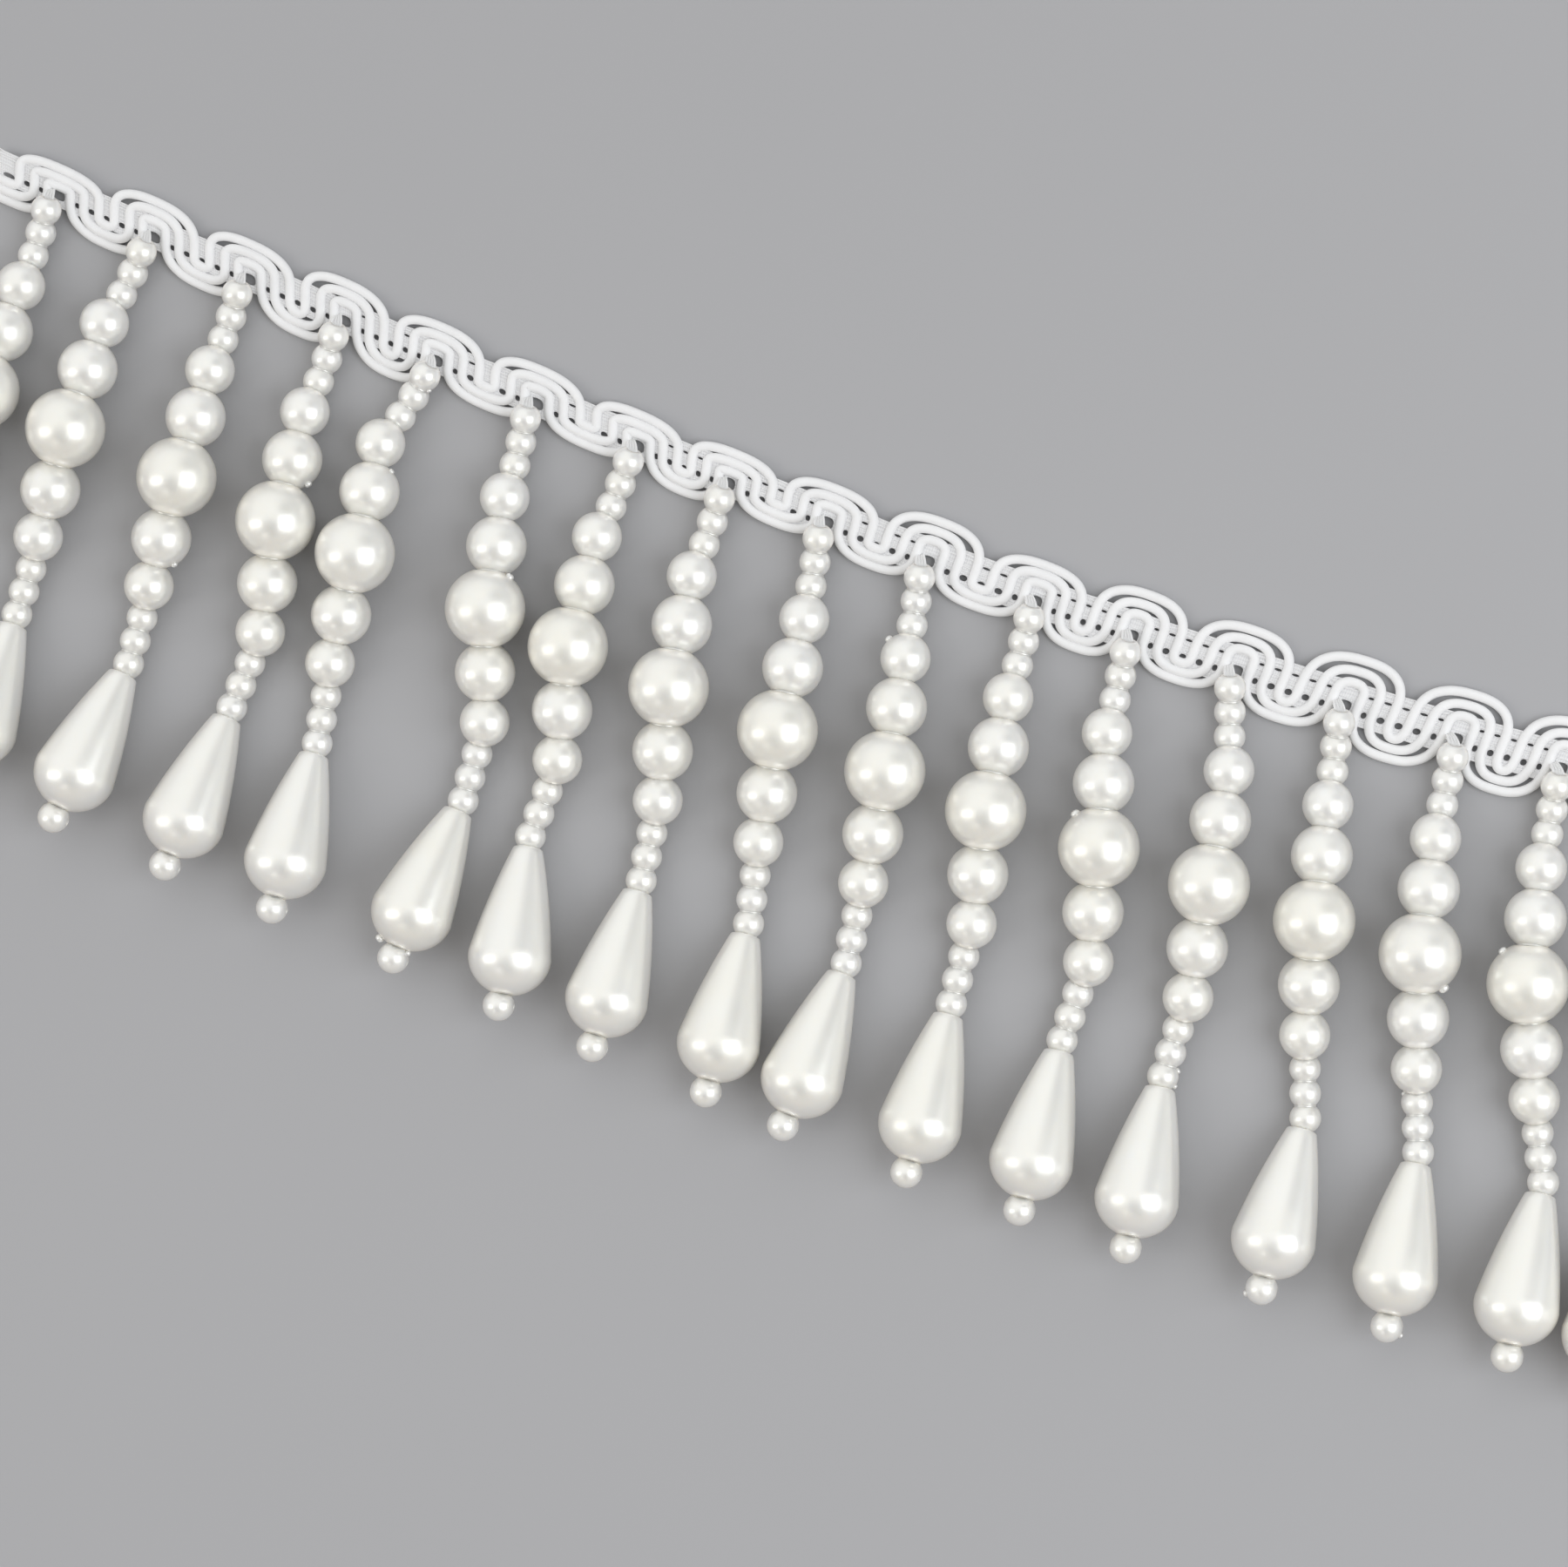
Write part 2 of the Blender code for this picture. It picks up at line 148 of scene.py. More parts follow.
@dataclass(frozen=True)
class TrimLay:
    """How the braid lies on the surface: a gentle bow, with arches and valleys along it.

    ends_y is where the centre line's ends lie, middle_x its middle and half its half length. sag is the
    depth of the bow, skewed towards +X, and notch_t is where the strands hang, all in millimetres.
    """

    ends_y: float = 19.246
    middle_x: float = -2.832
    sag: float = 2.5
    skew: float = 0.35
    half: float = 56.8
    notch_t: float = -1.55
    cut_beyond: float = 1.0
    direction_step: float = 0.1
    rows: tuple[StrandRow, ...] = STRANDS

    def valley_middles(self) -> list[float]:
        """The middles of the valleys, from before the first arch to after the last."""
        middles = [row.place for row in self.rows]
        inner = [(a + b) / 2 for a, b in zip(middles, middles[1:])]
        first = 2 * middles[0] - inner[0]
        last = 2 * middles[-1] - inner[-1]
        return [first] + inner + [last]

    def cuts(self) -> tuple[float, float]:
        """The places along the braid of its two cut ends."""
        valleys = self.valley_middles()
        return valleys[0] - self.cut_beyond, valleys[-1] + self.cut_beyond

    def lean_at(self, along: float) -> float:
        """The tangent of the legs' lean at a place along the braid."""
        along = max(self.rows[0].place, min(self.rows[-1].place, along))
        for left, right in zip(self.rows, self.rows[1:]):
            if along <= right.place:
                share = (along - left.place) / (right.place - left.place)
                first, second = (math.tan(math.radians(row.lean)) for row in (left, right))
                return first + share * (second - first)
        return math.tan(math.radians(self.rows[-1].lean))

    def centre_line(self, along: float) -> Vector:
        """The centre line at a place along the braid, in millimetres."""
        share = along / self.half
        sag = self.sag * (1 - share * share) * (1 + self.skew * share)
        return Vector((self.middle_x + along, self.ends_y - sag))

    def run_at(self, along: float) -> Vector:
        """The direction of the centre line at a place along the braid."""
        step = self.direction_step
        return (self.centre_line(along + step) - self.centre_line(along - step)).normalized()

    def hang_place(self, row: StrandRow, z: float) -> Vector:
        """Where a strand's first pearl hangs, square below its arch's middle, at a height in millimetres."""
        run = self.run_at(row.place)
        flat = self.centre_line(row.place) + Vector((-run.y, run.x)) * self.notch_t
        return Vector((flat.x, flat.y, z))

    def on_braid(self, along: float, t: float, z: float = 0.0) -> Vector:
        """A point on the braid.

        Args:
            along: place along the braid.
            t: distance from the centre line, away from the strands, in the lean of the legs.
            z: height above the surface.

        Returns:
            The point in millimetres.
        """
        run = self.run_at(along)
        outward = Vector((-run.y, run.x))
        flat = self.centre_line(along) + outward * t - run * (self.lean_at(along) * t)
        return Vector((flat.x, flat.y, z))


class Nodes:
    """Short calls that add nodes to a tree and join them."""

    def __init__(self, tree: bpy.types.NodeTree) -> None:
        """Takes the tree."""
        self.tree = tree

    def add(self, kind: str, settings: dict | None = None, **sockets: object) -> bpy.types.Node:
        """Adds a node.

        Args:
            kind: the node's type name.
            settings: the node's own properties.
            sockets: input values, or output sockets to link; underscores stand for spaces.

        Returns:
            The node.
        """
        node = self.tree.nodes.new(kind)
        for key, value in (settings or {}).items():
            setattr(node, key, value)
        for key, value in sockets.items():
            self.put(node.inputs[key.replace("_", " ")], value)
        return node

    def put(self, socket: bpy.types.NodeSocket, value: object) -> None:
        """Sets an input to a value, or links an output to it."""
        if isinstance(value, bpy.types.NodeSocket):
            self.tree.links.new(value, socket)
        else:
            socket.default_value = value


class ShaderSheet(Nodes):
    """The nodes of a material or of the room."""

    def __init__(self, owner: bpy.types.Material | bpy.types.World) -> None:
        """Opens the owner's nodes at its shader."""
        owner.use_nodes = True
        super().__init__(owner.node_tree)
        self.owner = owner
        of_room = isinstance(owner, bpy.types.World)
        self.shader = self.tree.nodes["Background" if of_room else "Principled BSDF"]

    def maths(self, operation: str, first: object, second: object = 0.0) -> bpy.types.NodeSocket:
        """A Math node's result."""
        node = self.add("ShaderNodeMath", {"operation": operation})
        self.put(node.inputs[0], first)
        self.put(node.inputs[1], second)
        return node.outputs[0]

    def noise(self, scale: float, detail: float = 2.0) -> bpy.types.NodeSocket:
        """A noise pattern's value on object coordinates."""
        place = self.add("ShaderNodeTexCoord").outputs["Object"]
        return self.add("ShaderNodeTexNoise", Vector=place, Scale=scale, Detail=detail).outputs["Fac"]

    def blend(self, share: object, first: Sequence[float], second: Sequence[float]) -> bpy.types.NodeSocket:
        """A mix of two colours."""
        node = self.add("ShaderNodeMix", {"data_type": "RGBA"})
        self.put(node.inputs["Factor"], share)
        self.put(node.inputs["A"], first)
        self.put(node.inputs["B"], second)
        return node.outputs["Result"]

    def spread(
            self, value: object, low: float, high: float, first: float, second: float,
            way: str = "LINEAR") -> bpy.types.NodeSocket:
        """A value mapped from one range to another and held inside it."""
        node = self.add("ShaderNodeMapRange", {"interpolation_type": way}, Value=value)
        for name, number in (("From Min", low), ("From Max", high), ("To Min", first), ("To Max", second)):
            node.inputs[name].default_value = number
        return node.outputs["Result"]

    def bump(self, height: object, depth: float, over: object = None) -> bpy.types.NodeSocket:
        """A bump of a depth in metres, over another normal if one is given."""
        node = self.add("ShaderNodeBump", Height=height, Distance=depth, Strength=1.0)
        if over is not None:
            self.put(node.inputs["Normal"], over)
        return node.outputs["Normal"]

    def attribute(self, name: str) -> bpy.types.Node:
        """A named attribute of the mesh."""
        return self.add("ShaderNodeAttribute", {"attribute_name": name})

    def mapped(self) -> bpy.types.Node:
        """The mesh's own map, as separate numbers."""
        return self.add("ShaderNodeSeparateXYZ", Vector=self.add("ShaderNodeUVMap").outputs["UV"])

    def towards(self, direction: Vector) -> bpy.types.NodeSocket:
        """The cosine of the angle between the direction looked in and a given one."""
        node = self.add("ShaderNodeVectorMath", {"operation": "DOT_PRODUCT"})
        self.put(node.inputs[0], self.add("ShaderNodeTexCoord").outputs["Generated"])
        self.put(node.inputs[1], direction)
        return node.outputs["Value"]

    def finish(self, **sockets: object) -> bpy.types.Material | bpy.types.World:
        """Sets the shader's sockets and returns the owner."""
        for key, value in sockets.items():
            self.put(self.shader.inputs[key.replace("_", " ")], value)
        return self.owner


@dataclass(frozen=True)
class PearlFinish:
    """Pearl lacquer on moulded beads: ivory under a clear soft gloss.

    Depths and heights are in metres, the film is in nanometres, and the scales are repeats a metre.
    """

    name: str = "pearl_lacquer"
    light: tuple[float, float, float, float] = (0.95, 0.94, 0.91, 1.0)
    cream: tuple[float, float, float, float] = (0.94, 0.91, 0.83, 1.0)
    edge: tuple[float, float, float, float] = (1.0, 0.955, 0.87, 1.0)
    pearl: float = 0.44
    roughness: float = 0.33
    smoother: float = 0.04
    rougher: float = 0.06
    index: float = 1.50
    coat: float = 0.50
    coat_roughness: float = 0.20
    glow: float = 0.45
    glow_depth: float = 0.0010
    glow_radius: tuple[float, float, float] = (1.0, 0.92, 0.8)
    film: float = 380.0
    film_index: float = 1.42
    cloud_scale: float = 420.0
    cloud_share: float = 0.45
    clouds_from: float = 0.1
    grain_scale: float = 5200.0
    grain_depth: float = 0.000002
    seams: float = 2.0
    seam_width: float = 0.016
    seam_height: float = 0.0000025

    def material(self) -> bpy.types.Material:
        """The lacquer, with clouding, a fine grain and the line of the mould."""
        sheet = ShaderSheet(bpy.data.materials.new(self.name))
        clouds = sheet.noise(self.cloud_scale)
        tint = sheet.attribute("tint").outputs["Fac"]
        share = sheet.maths("ADD", sheet.maths("MULTIPLY", clouds, self.cloud_share), tint)
        colour = sheet.blend(sheet.spread(share, self.clouds_from, 1.0, 0.0, 1.0), self.light, self.cream)
        turns = sheet.maths("MULTIPLY", sheet.mapped().outputs["X"], self.seams)
        to_seam = sheet.maths("ABSOLUTE", sheet.maths("SUBTRACT", sheet.maths("FRACT", turns), 0.5))
        seam = sheet.spread(to_seam, 0.0, self.seam_width, 1.0, 0.0)
        grain = sheet.bump(sheet.noise(self.grain_scale, 1.0), self.grain_depth)
        normal = sheet.bump(seam, self.seam_height, grain)
        rough = sheet.spread(
            clouds, NOISE_LOW, NOISE_HIGH, self.roughness - self.smoother, self.roughness + self.rougher)
        return sheet.finish(
            Base_Color=colour, Metallic=self.pearl, Roughness=rough, IOR=self.index, Specular_Tint=self.edge,
            Coat_Weight=self.coat, Coat_Roughness=self.coat_roughness, Subsurface_Weight=self.glow,
            Subsurface_Radius=self.glow_radius, Subsurface_Scale=self.glow_depth,
            Thin_Film_Thickness=self.film, Thin_Film_IOR=self.film_index, Normal=normal)


@dataclass(frozen=True)
class CordFinish:
    """A satin cord or thread, wound with a fine filament whose turns show as a faint ribbing.

    turn is the length of one turn and turn_depth its relief, in metres.
    """

    name: str
    colour: tuple[float, float, float, float]
    shade: tuple[float, float, float, float]
    roughness: float
    turn: float
    turn_depth: float
    glow: float = 0.10
    index: float = 1.48
    sheen: float = 0.35
    sheen_roughness: float = 0.45
    mottle_scale: float = 700.0
    mottle_from: float = 0.35
    fuzz_scale: float = 9000.0

    def material(self) -> bpy.types.Material:
        """The finish, ribbed along the attribute that runs down the cord."""
        sheet = ShaderSheet(bpy.data.materials.new(self.name))
        run = sheet.attribute("run").outputs["Fac"]
        turns = sheet.maths("SINE", sheet.maths("MULTIPLY", run, 2 * math.pi / self.turn))
        mottle = sheet.spread(sheet.noise(self.mottle_scale), self.mottle_from, NOISE_HIGH, 0.0, 1.0)
        fuzz = sheet.bump(sheet.noise(self.fuzz_scale), self.turn_depth)
        return sheet.finish(
            Base_Color=sheet.blend(mottle, self.colour, self.shade), Roughness=self.roughness, IOR=self.index,
            Sheen_Weight=self.sheen, Sheen_Roughness=self.sheen_roughness, Subsurface_Weight=self.glow,
            Subsurface_Radius=EVEN_GLOW, Subsurface_Scale=THREAD_GLOW_DEPTH,
            Normal=sheet.bump(turns, self.turn_depth, fuzz))


@dataclass(frozen=True)
class KnitFinish:
    """The fine knitted ground between the cords, with its courses and wales as relief and painted shade in
    their hollows.

    course and wale are in millimetres, as the map is, and depth is in metres.
    """

    name: str = "knitted_ground"
    colour: tuple[float, float, float, float] = (0.85, 0.85, 0.85, 1.0)
    # painted shade: the darker colour that the hollows of the loops take
    shade: tuple[float, float, float, float] = (0.70, 0.70, 0.71, 1.0)
    course: float = 0.16
    wale: float = 0.24
    depth: float = 0.000012
    reach: float = 0.9
    roughness: float = 0.7
    sheen: float = 0.3
    glow: float = 0.15

    def material(self) -> bpy.types.Material:
        """The knit, on its own map in millimetres along and across the braid, with painted shade in the
        hollows of its loops.
        """
        sheet = ShaderSheet(bpy.data.materials.new(self.name))
        place = sheet.mapped()
        along = sheet.maths("SINE", sheet.maths("MULTIPLY", place.outputs["X"], 2 * math.pi / self.course))
        across = sheet.maths("SINE", sheet.maths("MULTIPLY", place.outputs["Y"], 2 * math.pi / self.wale))
        loops = sheet.maths("MULTIPLY", sheet.maths("ADD", along, across), 0.5)
        # painted shade: the colour goes darker where the loops' relief is lowest, where shade would fall
        shade = sheet.spread(loops, -self.reach, self.reach, 1.0, 0.0)
        return sheet.finish(
            Base_Color=sheet.blend(shade, self.colour, self.shade), Roughness=self.roughness,
            Sheen_Weight=self.sheen, Subsurface_Weight=self.glow, Subsurface_Radius=EVEN_GLOW,
            Subsurface_Scale=THREAD_GLOW_DEPTH, Normal=sheet.bump(loops, self.depth))


@dataclass(frozen=True)
class SurfaceFinish:
    """The plain pale surface under the trim."""

    name: str = "plain_surface"
    colour: tuple[float, float, float, float] = (0.40, 0.40, 0.41, 1.0)
    unevenness: float = 60.0
    smoothest: float = 0.62
    roughest: float = 0.72

    def material(self) -> bpy.types.Material:
        """A plain matt finish with the faintest unevenness."""
        sheet = ShaderSheet(bpy.data.materials.new(self.name))
        uneven = sheet.noise(self.unevenness)
        rough = sheet.spread(uneven, NOISE_LOW, NOISE_HIGH, self.smoothest, self.roughest)
        return sheet.finish(Base_Color=self.colour, Roughness=rough)


class NodeTree(Nodes):
    """A Geometry Nodes tree with named inputs."""

    def __init__(self, name: str, inputs: Sequence[tuple[str, str, object]]) -> None:
        """Starts a tree.

        Args:
            name: the tree's name.
            inputs: each input's name, socket type and default value.
        """
        super().__init__(bpy.data.node_groups.new(name, "GeometryNodeTree"))
        self.tree.interface.new_socket("Geometry", in_out="INPUT", socket_type="NodeSocketGeometry")
        for title, kind, value in inputs:
            socket = self.tree.interface.new_socket(title, in_out="INPUT", socket_type=kind)
            if value is not None:
                socket.default_value = value
        self.tree.interface.new_socket("Geometry", in_out="OUTPUT", socket_type="NodeSocketGeometry")
        self.source = self.tree.nodes.new("NodeGroupInput").outputs

    def named(self, name: str, kind: str) -> bpy.types.NodeSocket:
        """A named attribute's value."""
        node = self.add("GeometryNodeInputNamedAttribute", {"data_type": kind}, Name=name)
        return next(out for out in node.outputs if out.enabled and out.name == "Attribute")

    def end(self, geometry: bpy.types.NodeSocket) -> None:
        """Realizes the instances, gives the material and ends the tree."""
        real = self.add("GeometryNodeRealizeInstances", Geometry=geometry).outputs[0]
        shaded = self.add("GeometryNodeSetShadeSmooth", Geometry=real).outputs[0]
        dressed = self.add("GeometryNodeSetMaterial", Geometry=shaded, Material=self.source["Finish"])
        self.put(self.add("NodeGroupOutput").inputs[0], dressed.outputs[0])

    def apply(self, seed: bpy.types.Object, values: dict[str, object]) -> bpy.types.Object:
        """Runs the tree on an object and makes the result a plain mesh.

        Args:
            seed: the object whose mesh the tree starts from; it is removed.
            values: the tree's inputs by name.

        Returns:
            A new object of the same name, at the origin.
        """
        modifier = seed.modifiers.new(self.tree.name, "NODES")
        modifier.node_group = self.tree
        for item in self.tree.interface.items_tree:
            if item.in_out == "INPUT" and item.name in values:
                modifier[item.identifier] = values[item.name]
        return plain_mesh(seed)


def plain_mesh(seed: bpy.types.Object) -> bpy.types.Object:
    """The evaluated object as a plain mesh object of the same name; the first one is removed."""
    name = seed.name
    bpy.context.view_layer.update()
    depsgraph = bpy.context.evaluated_depsgraph_get()
    mesh = bpy.data.meshes.new_from_object(seed.evaluated_get(depsgraph))
    bpy.data.objects.remove(seed, do_unlink=True)
    mesh.name = name
    return linked(name, mesh)


def linked(name: str, mesh: bpy.types.Mesh) -> bpy.types.Object:
    """A new object for a mesh, in the scene."""
    made = bpy.data.objects.new(name, mesh)
    bpy.context.scene.collection.objects.link(made)
    return made


def lines_object(name: str, lines: Sequence[Sequence[Vector]]) -> bpy.types.Object:
    """Polylines in millimetres as one mesh of edges, for a tree to run along."""
    mesh = bpy.data.meshes.new(name)
    places: list[Vector] = []
    edges: list[tuple[int, int]] = []
    for line in lines:
        first = len(places)
        places += [world(point) for point in line]
        edges += [(first + index, first + index + 1) for index in range(len(line) - 1)]
    mesh.from_pydata(places, edges, [])
    return linked(name, mesh)


def report(piece: bpy.types.Object, slot: str, *nodes: str) -> None:
    """Attaches a finished piece to the root body, hides the CAD nodes that it stands for and logs its
    triangles.

    Args:
        piece: the piece, at the origin.
        slot: not used.
        nodes: the CAD nodes that it stands for.
    """
    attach(piece, "root")
    if nodes:
        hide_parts(*nodes)
    triangles = sum(len(face.vertices) - 2 for face in piece.data.polygons)
    log.info("%s: %d triangles", piece.name, triangles)


@dataclass(frozen=True)
class Pearl:
    """A moulded round pearl: a ball cut flat at the two ends of its bore.

    length is from flat to flat, rim the angle between the ball's last ring and a flat, and pressed how
    far each end is sunk into the next shape. Sizes are in millimetres, and bore is a radius.
    """

    diameter: float
    length: float
    bore: float = 0.35
    sides: int = 32
    rings: int = 18
    rim: float = 0.012
    pressed: float = 0.05

    def outline(self) -> list[tuple[float, float]]:
        """The pearl's closed outline as radii and heights along its bore, pressed a little into the next."""
        radius, half = self.diameter / 2, self.length / 2 + self.pressed
        reach = math.asin(half / radius) - self.rim
        side = []
        for ring in range(self.rings + 1):
            turn = reach * (2 * ring / self.rings - 1)
            side.append((radius * math.cos(turn), radius * math.sin(turn)))
        end = math.sqrt(radius * radius - half * half)
        inner = end - 2 * self.rim * radius
        return [(self.bore, -half), (inner, -half)] + side + [(inner, half), (self.bore, half)]

    def end_radius(self) -> float:
        """The radius of the flat round an end of the bore."""
        return math.sqrt(self.diameter ** 2 - self.length ** 2) / 2


@dataclass(frozen=True)
class Drop:
    """A moulded drop: narrow and cut flat at the top, with full sides and a round bottom.

    to_widest is the height from the widest place up to the top, and below the height from there down.
    bevel is the width and height of the slope round the top. Sizes are in millimetres, and the bores
    are radii.
    """

    diameter: float = 5.50
    top: float = 1.94
    to_widest: float = 7.30
    below: float = 2.60
    bulge: float = 0.35
    bore: float = 0.35
    foot_bore: float = 0.52
    foot_recess: float = 0.25
    rim: float = 0.12
    bevel: tuple[float, float] = (0.03, 0.04)
    shoulder: float = 0.015
    sides: int = 40
    rings: int = 22
    cap_rings: int = 12

    def outline(self) -> list[tuple[float, float]]:
        """The drop's closed outline, from its top at the least height to its bottom at the greatest."""
        radius, top = self.diameter / 2, self.top / 2
        line = [(self.bore, -self.to_widest), (top - self.rim, -self.to_widest)]
        line.append((top - self.bevel[0], self.bevel[1] - self.to_widest))
        for ring in range(self.rings + 1):
            share = self.shoulder + (1 - self.shoulder) * ring / self.rings
            swell = (1 + self.bulge) * share - self.bulge * share * share
            line.append((top + (radius - top) * swell, (share - 1) * self.to_widest))
        last = math.acos(self.foot_bore / radius)
        for ring in range(1, self.cap_rings + 1):
            turn = last * ring / self.cap_rings
            line.append((radius * math.cos(turn), self.below * math.sin(turn)))
        return line + [(self.bore, self.below * math.sin(last) - self.foot_recess)]


@dataclass(frozen=True)
class Nub:
    """A crumb of flash that the mould left on a pearl.

    blunt is both the power that fills out its sides and its height as a share of its diameter.
    """

    diameter: float = 0.62
    tip: float = 0.02
    blunt: float = 0.8
    sides: int = 10
    rings: int = 6

    def outline(self) -> list[tuple[float, float]]:
        """A small blunt lump."""
        radius = self.diameter / 2
        turns = [math.pi * ring / self.rings - math.pi / 2 for ring in range(self.rings + 1)]
        return [(max(self.tip, radius * math.cos(turn) ** self.blunt), self.blunt * radius * math.sin(turn))
                for turn in turns]


@dataclass(frozen=True)
class Collar:
    """The lacquer gathered in the crease between two shapes, as a ring of radius 1 to be scaled."""

    thick: float = 0.13
    high: float = 0.17
    corners: int = 6
    sides: int = 24

    def outline(self) -> list[tuple[float, float]]:
        """A small oval beside the bore."""
        turns = [2 * math.pi * corner / self.corners for corner in range(self.corners)]
        return [(1 + self.thick * math.cos(turn), self.high * math.sin(turn)) for turn in turns]


def turned(name: str, shape: Pearl | Drop | Nub | Collar) -> bpy.types.Object:
    """A closed outline turned about the local z axis, with a map of turns across and outline along.

    Args:
        name: the object's name.
        shape: what gives the outline and the number of sides.

    Returns:
        The object, not linked to the scene.
    """
    outline = shape.outline()
    made = bmesh.new()
    mapping = made.loops.layers.uv.new("UVMap")
    columns = []
    for side in range(shape.sides):
        turn = 2 * math.pi * side / shape.sides
        columns.append([
            made.verts.new(world((radius * math.cos(turn), radius * math.sin(turn), height)))
            for radius, height in outline])
    count = len(outline)
    for side, column in enumerate(columns):
        beside = columns[(side + 1) % shape.sides]
        for index in range(count):
            after = (index + 1) % count
            face = made.faces.new((column[index], beside[index], beside[after], column[after]))
            corners = ((side, index), (side + 1, index), (side + 1, index + 1), (side, index + 1))
            for loop, (across, down) in zip(face.loops, corners):
                loop[mapping].uv = (across / shape.sides, down / count)
    bmesh.ops.recalc_face_normals(made, faces=made.faces)
    mesh = bpy.data.meshes.new(name)
    made.to_mesh(mesh)
    made.free()
    return bpy.data.objects.new(name, mesh)


@dataclass(frozen=True)
class Strung:
    """One shape at its place on a strand: its kind, middle, direction of bore, spin, tint and scale."""

    kind: PearlKind
    middle: Vector
    bore: Vector
    spin: float
    tint: float
    scale: float = 1.0


@dataclass(frozen=True)
class Flash:
    """A nub on one strand: which shape it is on, where round it in degrees from +X, and its scale."""

    strand: int
    shape: int
    turn: float
    scale: float


@dataclass
class PearlStrands:
    """The seventeen threaded strands, each a piece of its own.

    The sizes named lies_at are the heights of middles over the surface, in millimetres. A tint is how
    creamy a pearl is, from 0 to 1.
    """

    lay: TrimLay
    shapes: dict[PearlKind, Pearl | Drop | Nub | Collar] = field(default_factory=lambda: {
        PearlKind.SMALL: Pearl(2.06, 1.60, bore=0.30, sides=28, rings=14),
        PearlKind.MEDIUM_SMALL: Pearl(3.30, 2.96),
        PearlKind.MEDIUM: Pearl(4.00, 3.60),
        PearlKind.LARGE: Pearl(5.30, 4.84, sides=40, rings=24),
        PearlKind.DROP: Drop(),
        PearlKind.END: Pearl(2.10, 1.94, bore=0.22, sides=28, rings=16),
        PearlKind.NUB: Nub(),
        PearlKind.COLLAR: Collar(),
    })
    stringing: tuple[tuple[PearlKind, Swing], ...] = (
        (PearlKind.SMALL, Swing.TOP), (PearlKind.SMALL, Swing.TOP), (PearlKind.MEDIUM_SMALL, Swing.TOP),
        (PearlKind.MEDIUM, Swing.UPPER), (PearlKind.LARGE, Swing.UPPER), (PearlKind.MEDIUM, Swing.LOWER),
        (PearlKind.MEDIUM_SMALL, Swing.LOWER), (PearlKind.SMALL, Swing.FOOT), (PearlKind.SMALL, Swing.FOOT),
        (PearlKind.SMALL, Swing.FOOT),
    )
    end_length: float = 1.34
    first_lies_at: float = 1.50
    drop_lies_at: float = 2.75
    end_lies_at: float = 2.90
    seed: int = 7
    whole_spin: float = 6.28
    tint_spread: float = 0.3
    large_cream: float = 0.25
    drop_tints: tuple[float, float] = (0.1, 0.35)
    flash_rise: float = 0.12
    flashes: tuple[Flash, ...] = (
        Flash(2, 6, -41, 0.8), Flash(3, 4, -35, 0.9), Flash(4, 0, -52, 0.6), Flash(4, 4, 61, 0.7),
        Flash(5, 5, 71, 1.0), Flash(5, 11, -120, 1.0), Flash(5, 11, -75, 0.8), Flash(9, 3, 151, 0.9),
        Flash(10, 9, 125, 0.5), Flash(11, 5, 145, 1.1), Flash(12, 10, 40, 0.7), Flash(12, 10, -20, 0.6),
        Flash(13, 12, 218, 0.7), Flash(14, 5, -35, 1.2), Flash(14, 8, 166, 0.6), Flash(14, 12, -12, 0.6),
        Flash(15, 5, 148, 1.0),
    )

    def step(self, row: StrandRow, stretch: Swing, length: float, rise: float) -> Vector:
        """A step down the thread, turned by the stretch's swing."""
        flat = math.sqrt(length * length - rise * rise)
        turn = row.swing(stretch)
        return Vector((flat * math.sin(turn), -flat * math.cos(turn), rise))

    def middles(self, row: StrandRow) -> list[Vector]:
        """The middles of a strand's round pearls, of its drop where it is widest, and of its end pearl."""
        above = self.shapes[PearlKind.SMALL]
        middles = [self.lay.hang_place(row, self.first_lies_at)]
        for kind, stretch in self.stringing:
            pearl = self.shapes[kind]
            rise = pearl.diameter / 2 - middles[-1].z
            middles.append(middles[-1] + self.step(row, stretch, (pearl.length + above.length) / 2, rise))
            above = pearl
        drop = self.shapes[PearlKind.DROP]
        to_widest = above.length / 2 + drop.to_widest
        middles.append(middles[-1] + self.step(row, Swing.DROP, to_widest, self.drop_lies_at - middles[-1].z))
        to_end = drop.below + self.end_length / 2
        rise = self.end_lies_at - self.drop_lies_at
        middles.append(middles[-1] + self.step(row, Swing.TAIL, to_end, rise))
        return middles

    def collars(self, found: list[Strung]) -> list[Strung]:
        """The lacquer in the creases between a strand's round pearls."""
        made = []
        for above, below in zip(found, found[1:]):
            axis = (below.middle - above.middle).normalized()
            radius = min(self.shapes[one.kind].end_radius() for one in (above, below))
            middle = above.middle + axis * self.shapes[above.kind].length / 2
            made.append(Strung(PearlKind.COLLAR, middle, axis, 0.0, above.tint, radius))
        return made

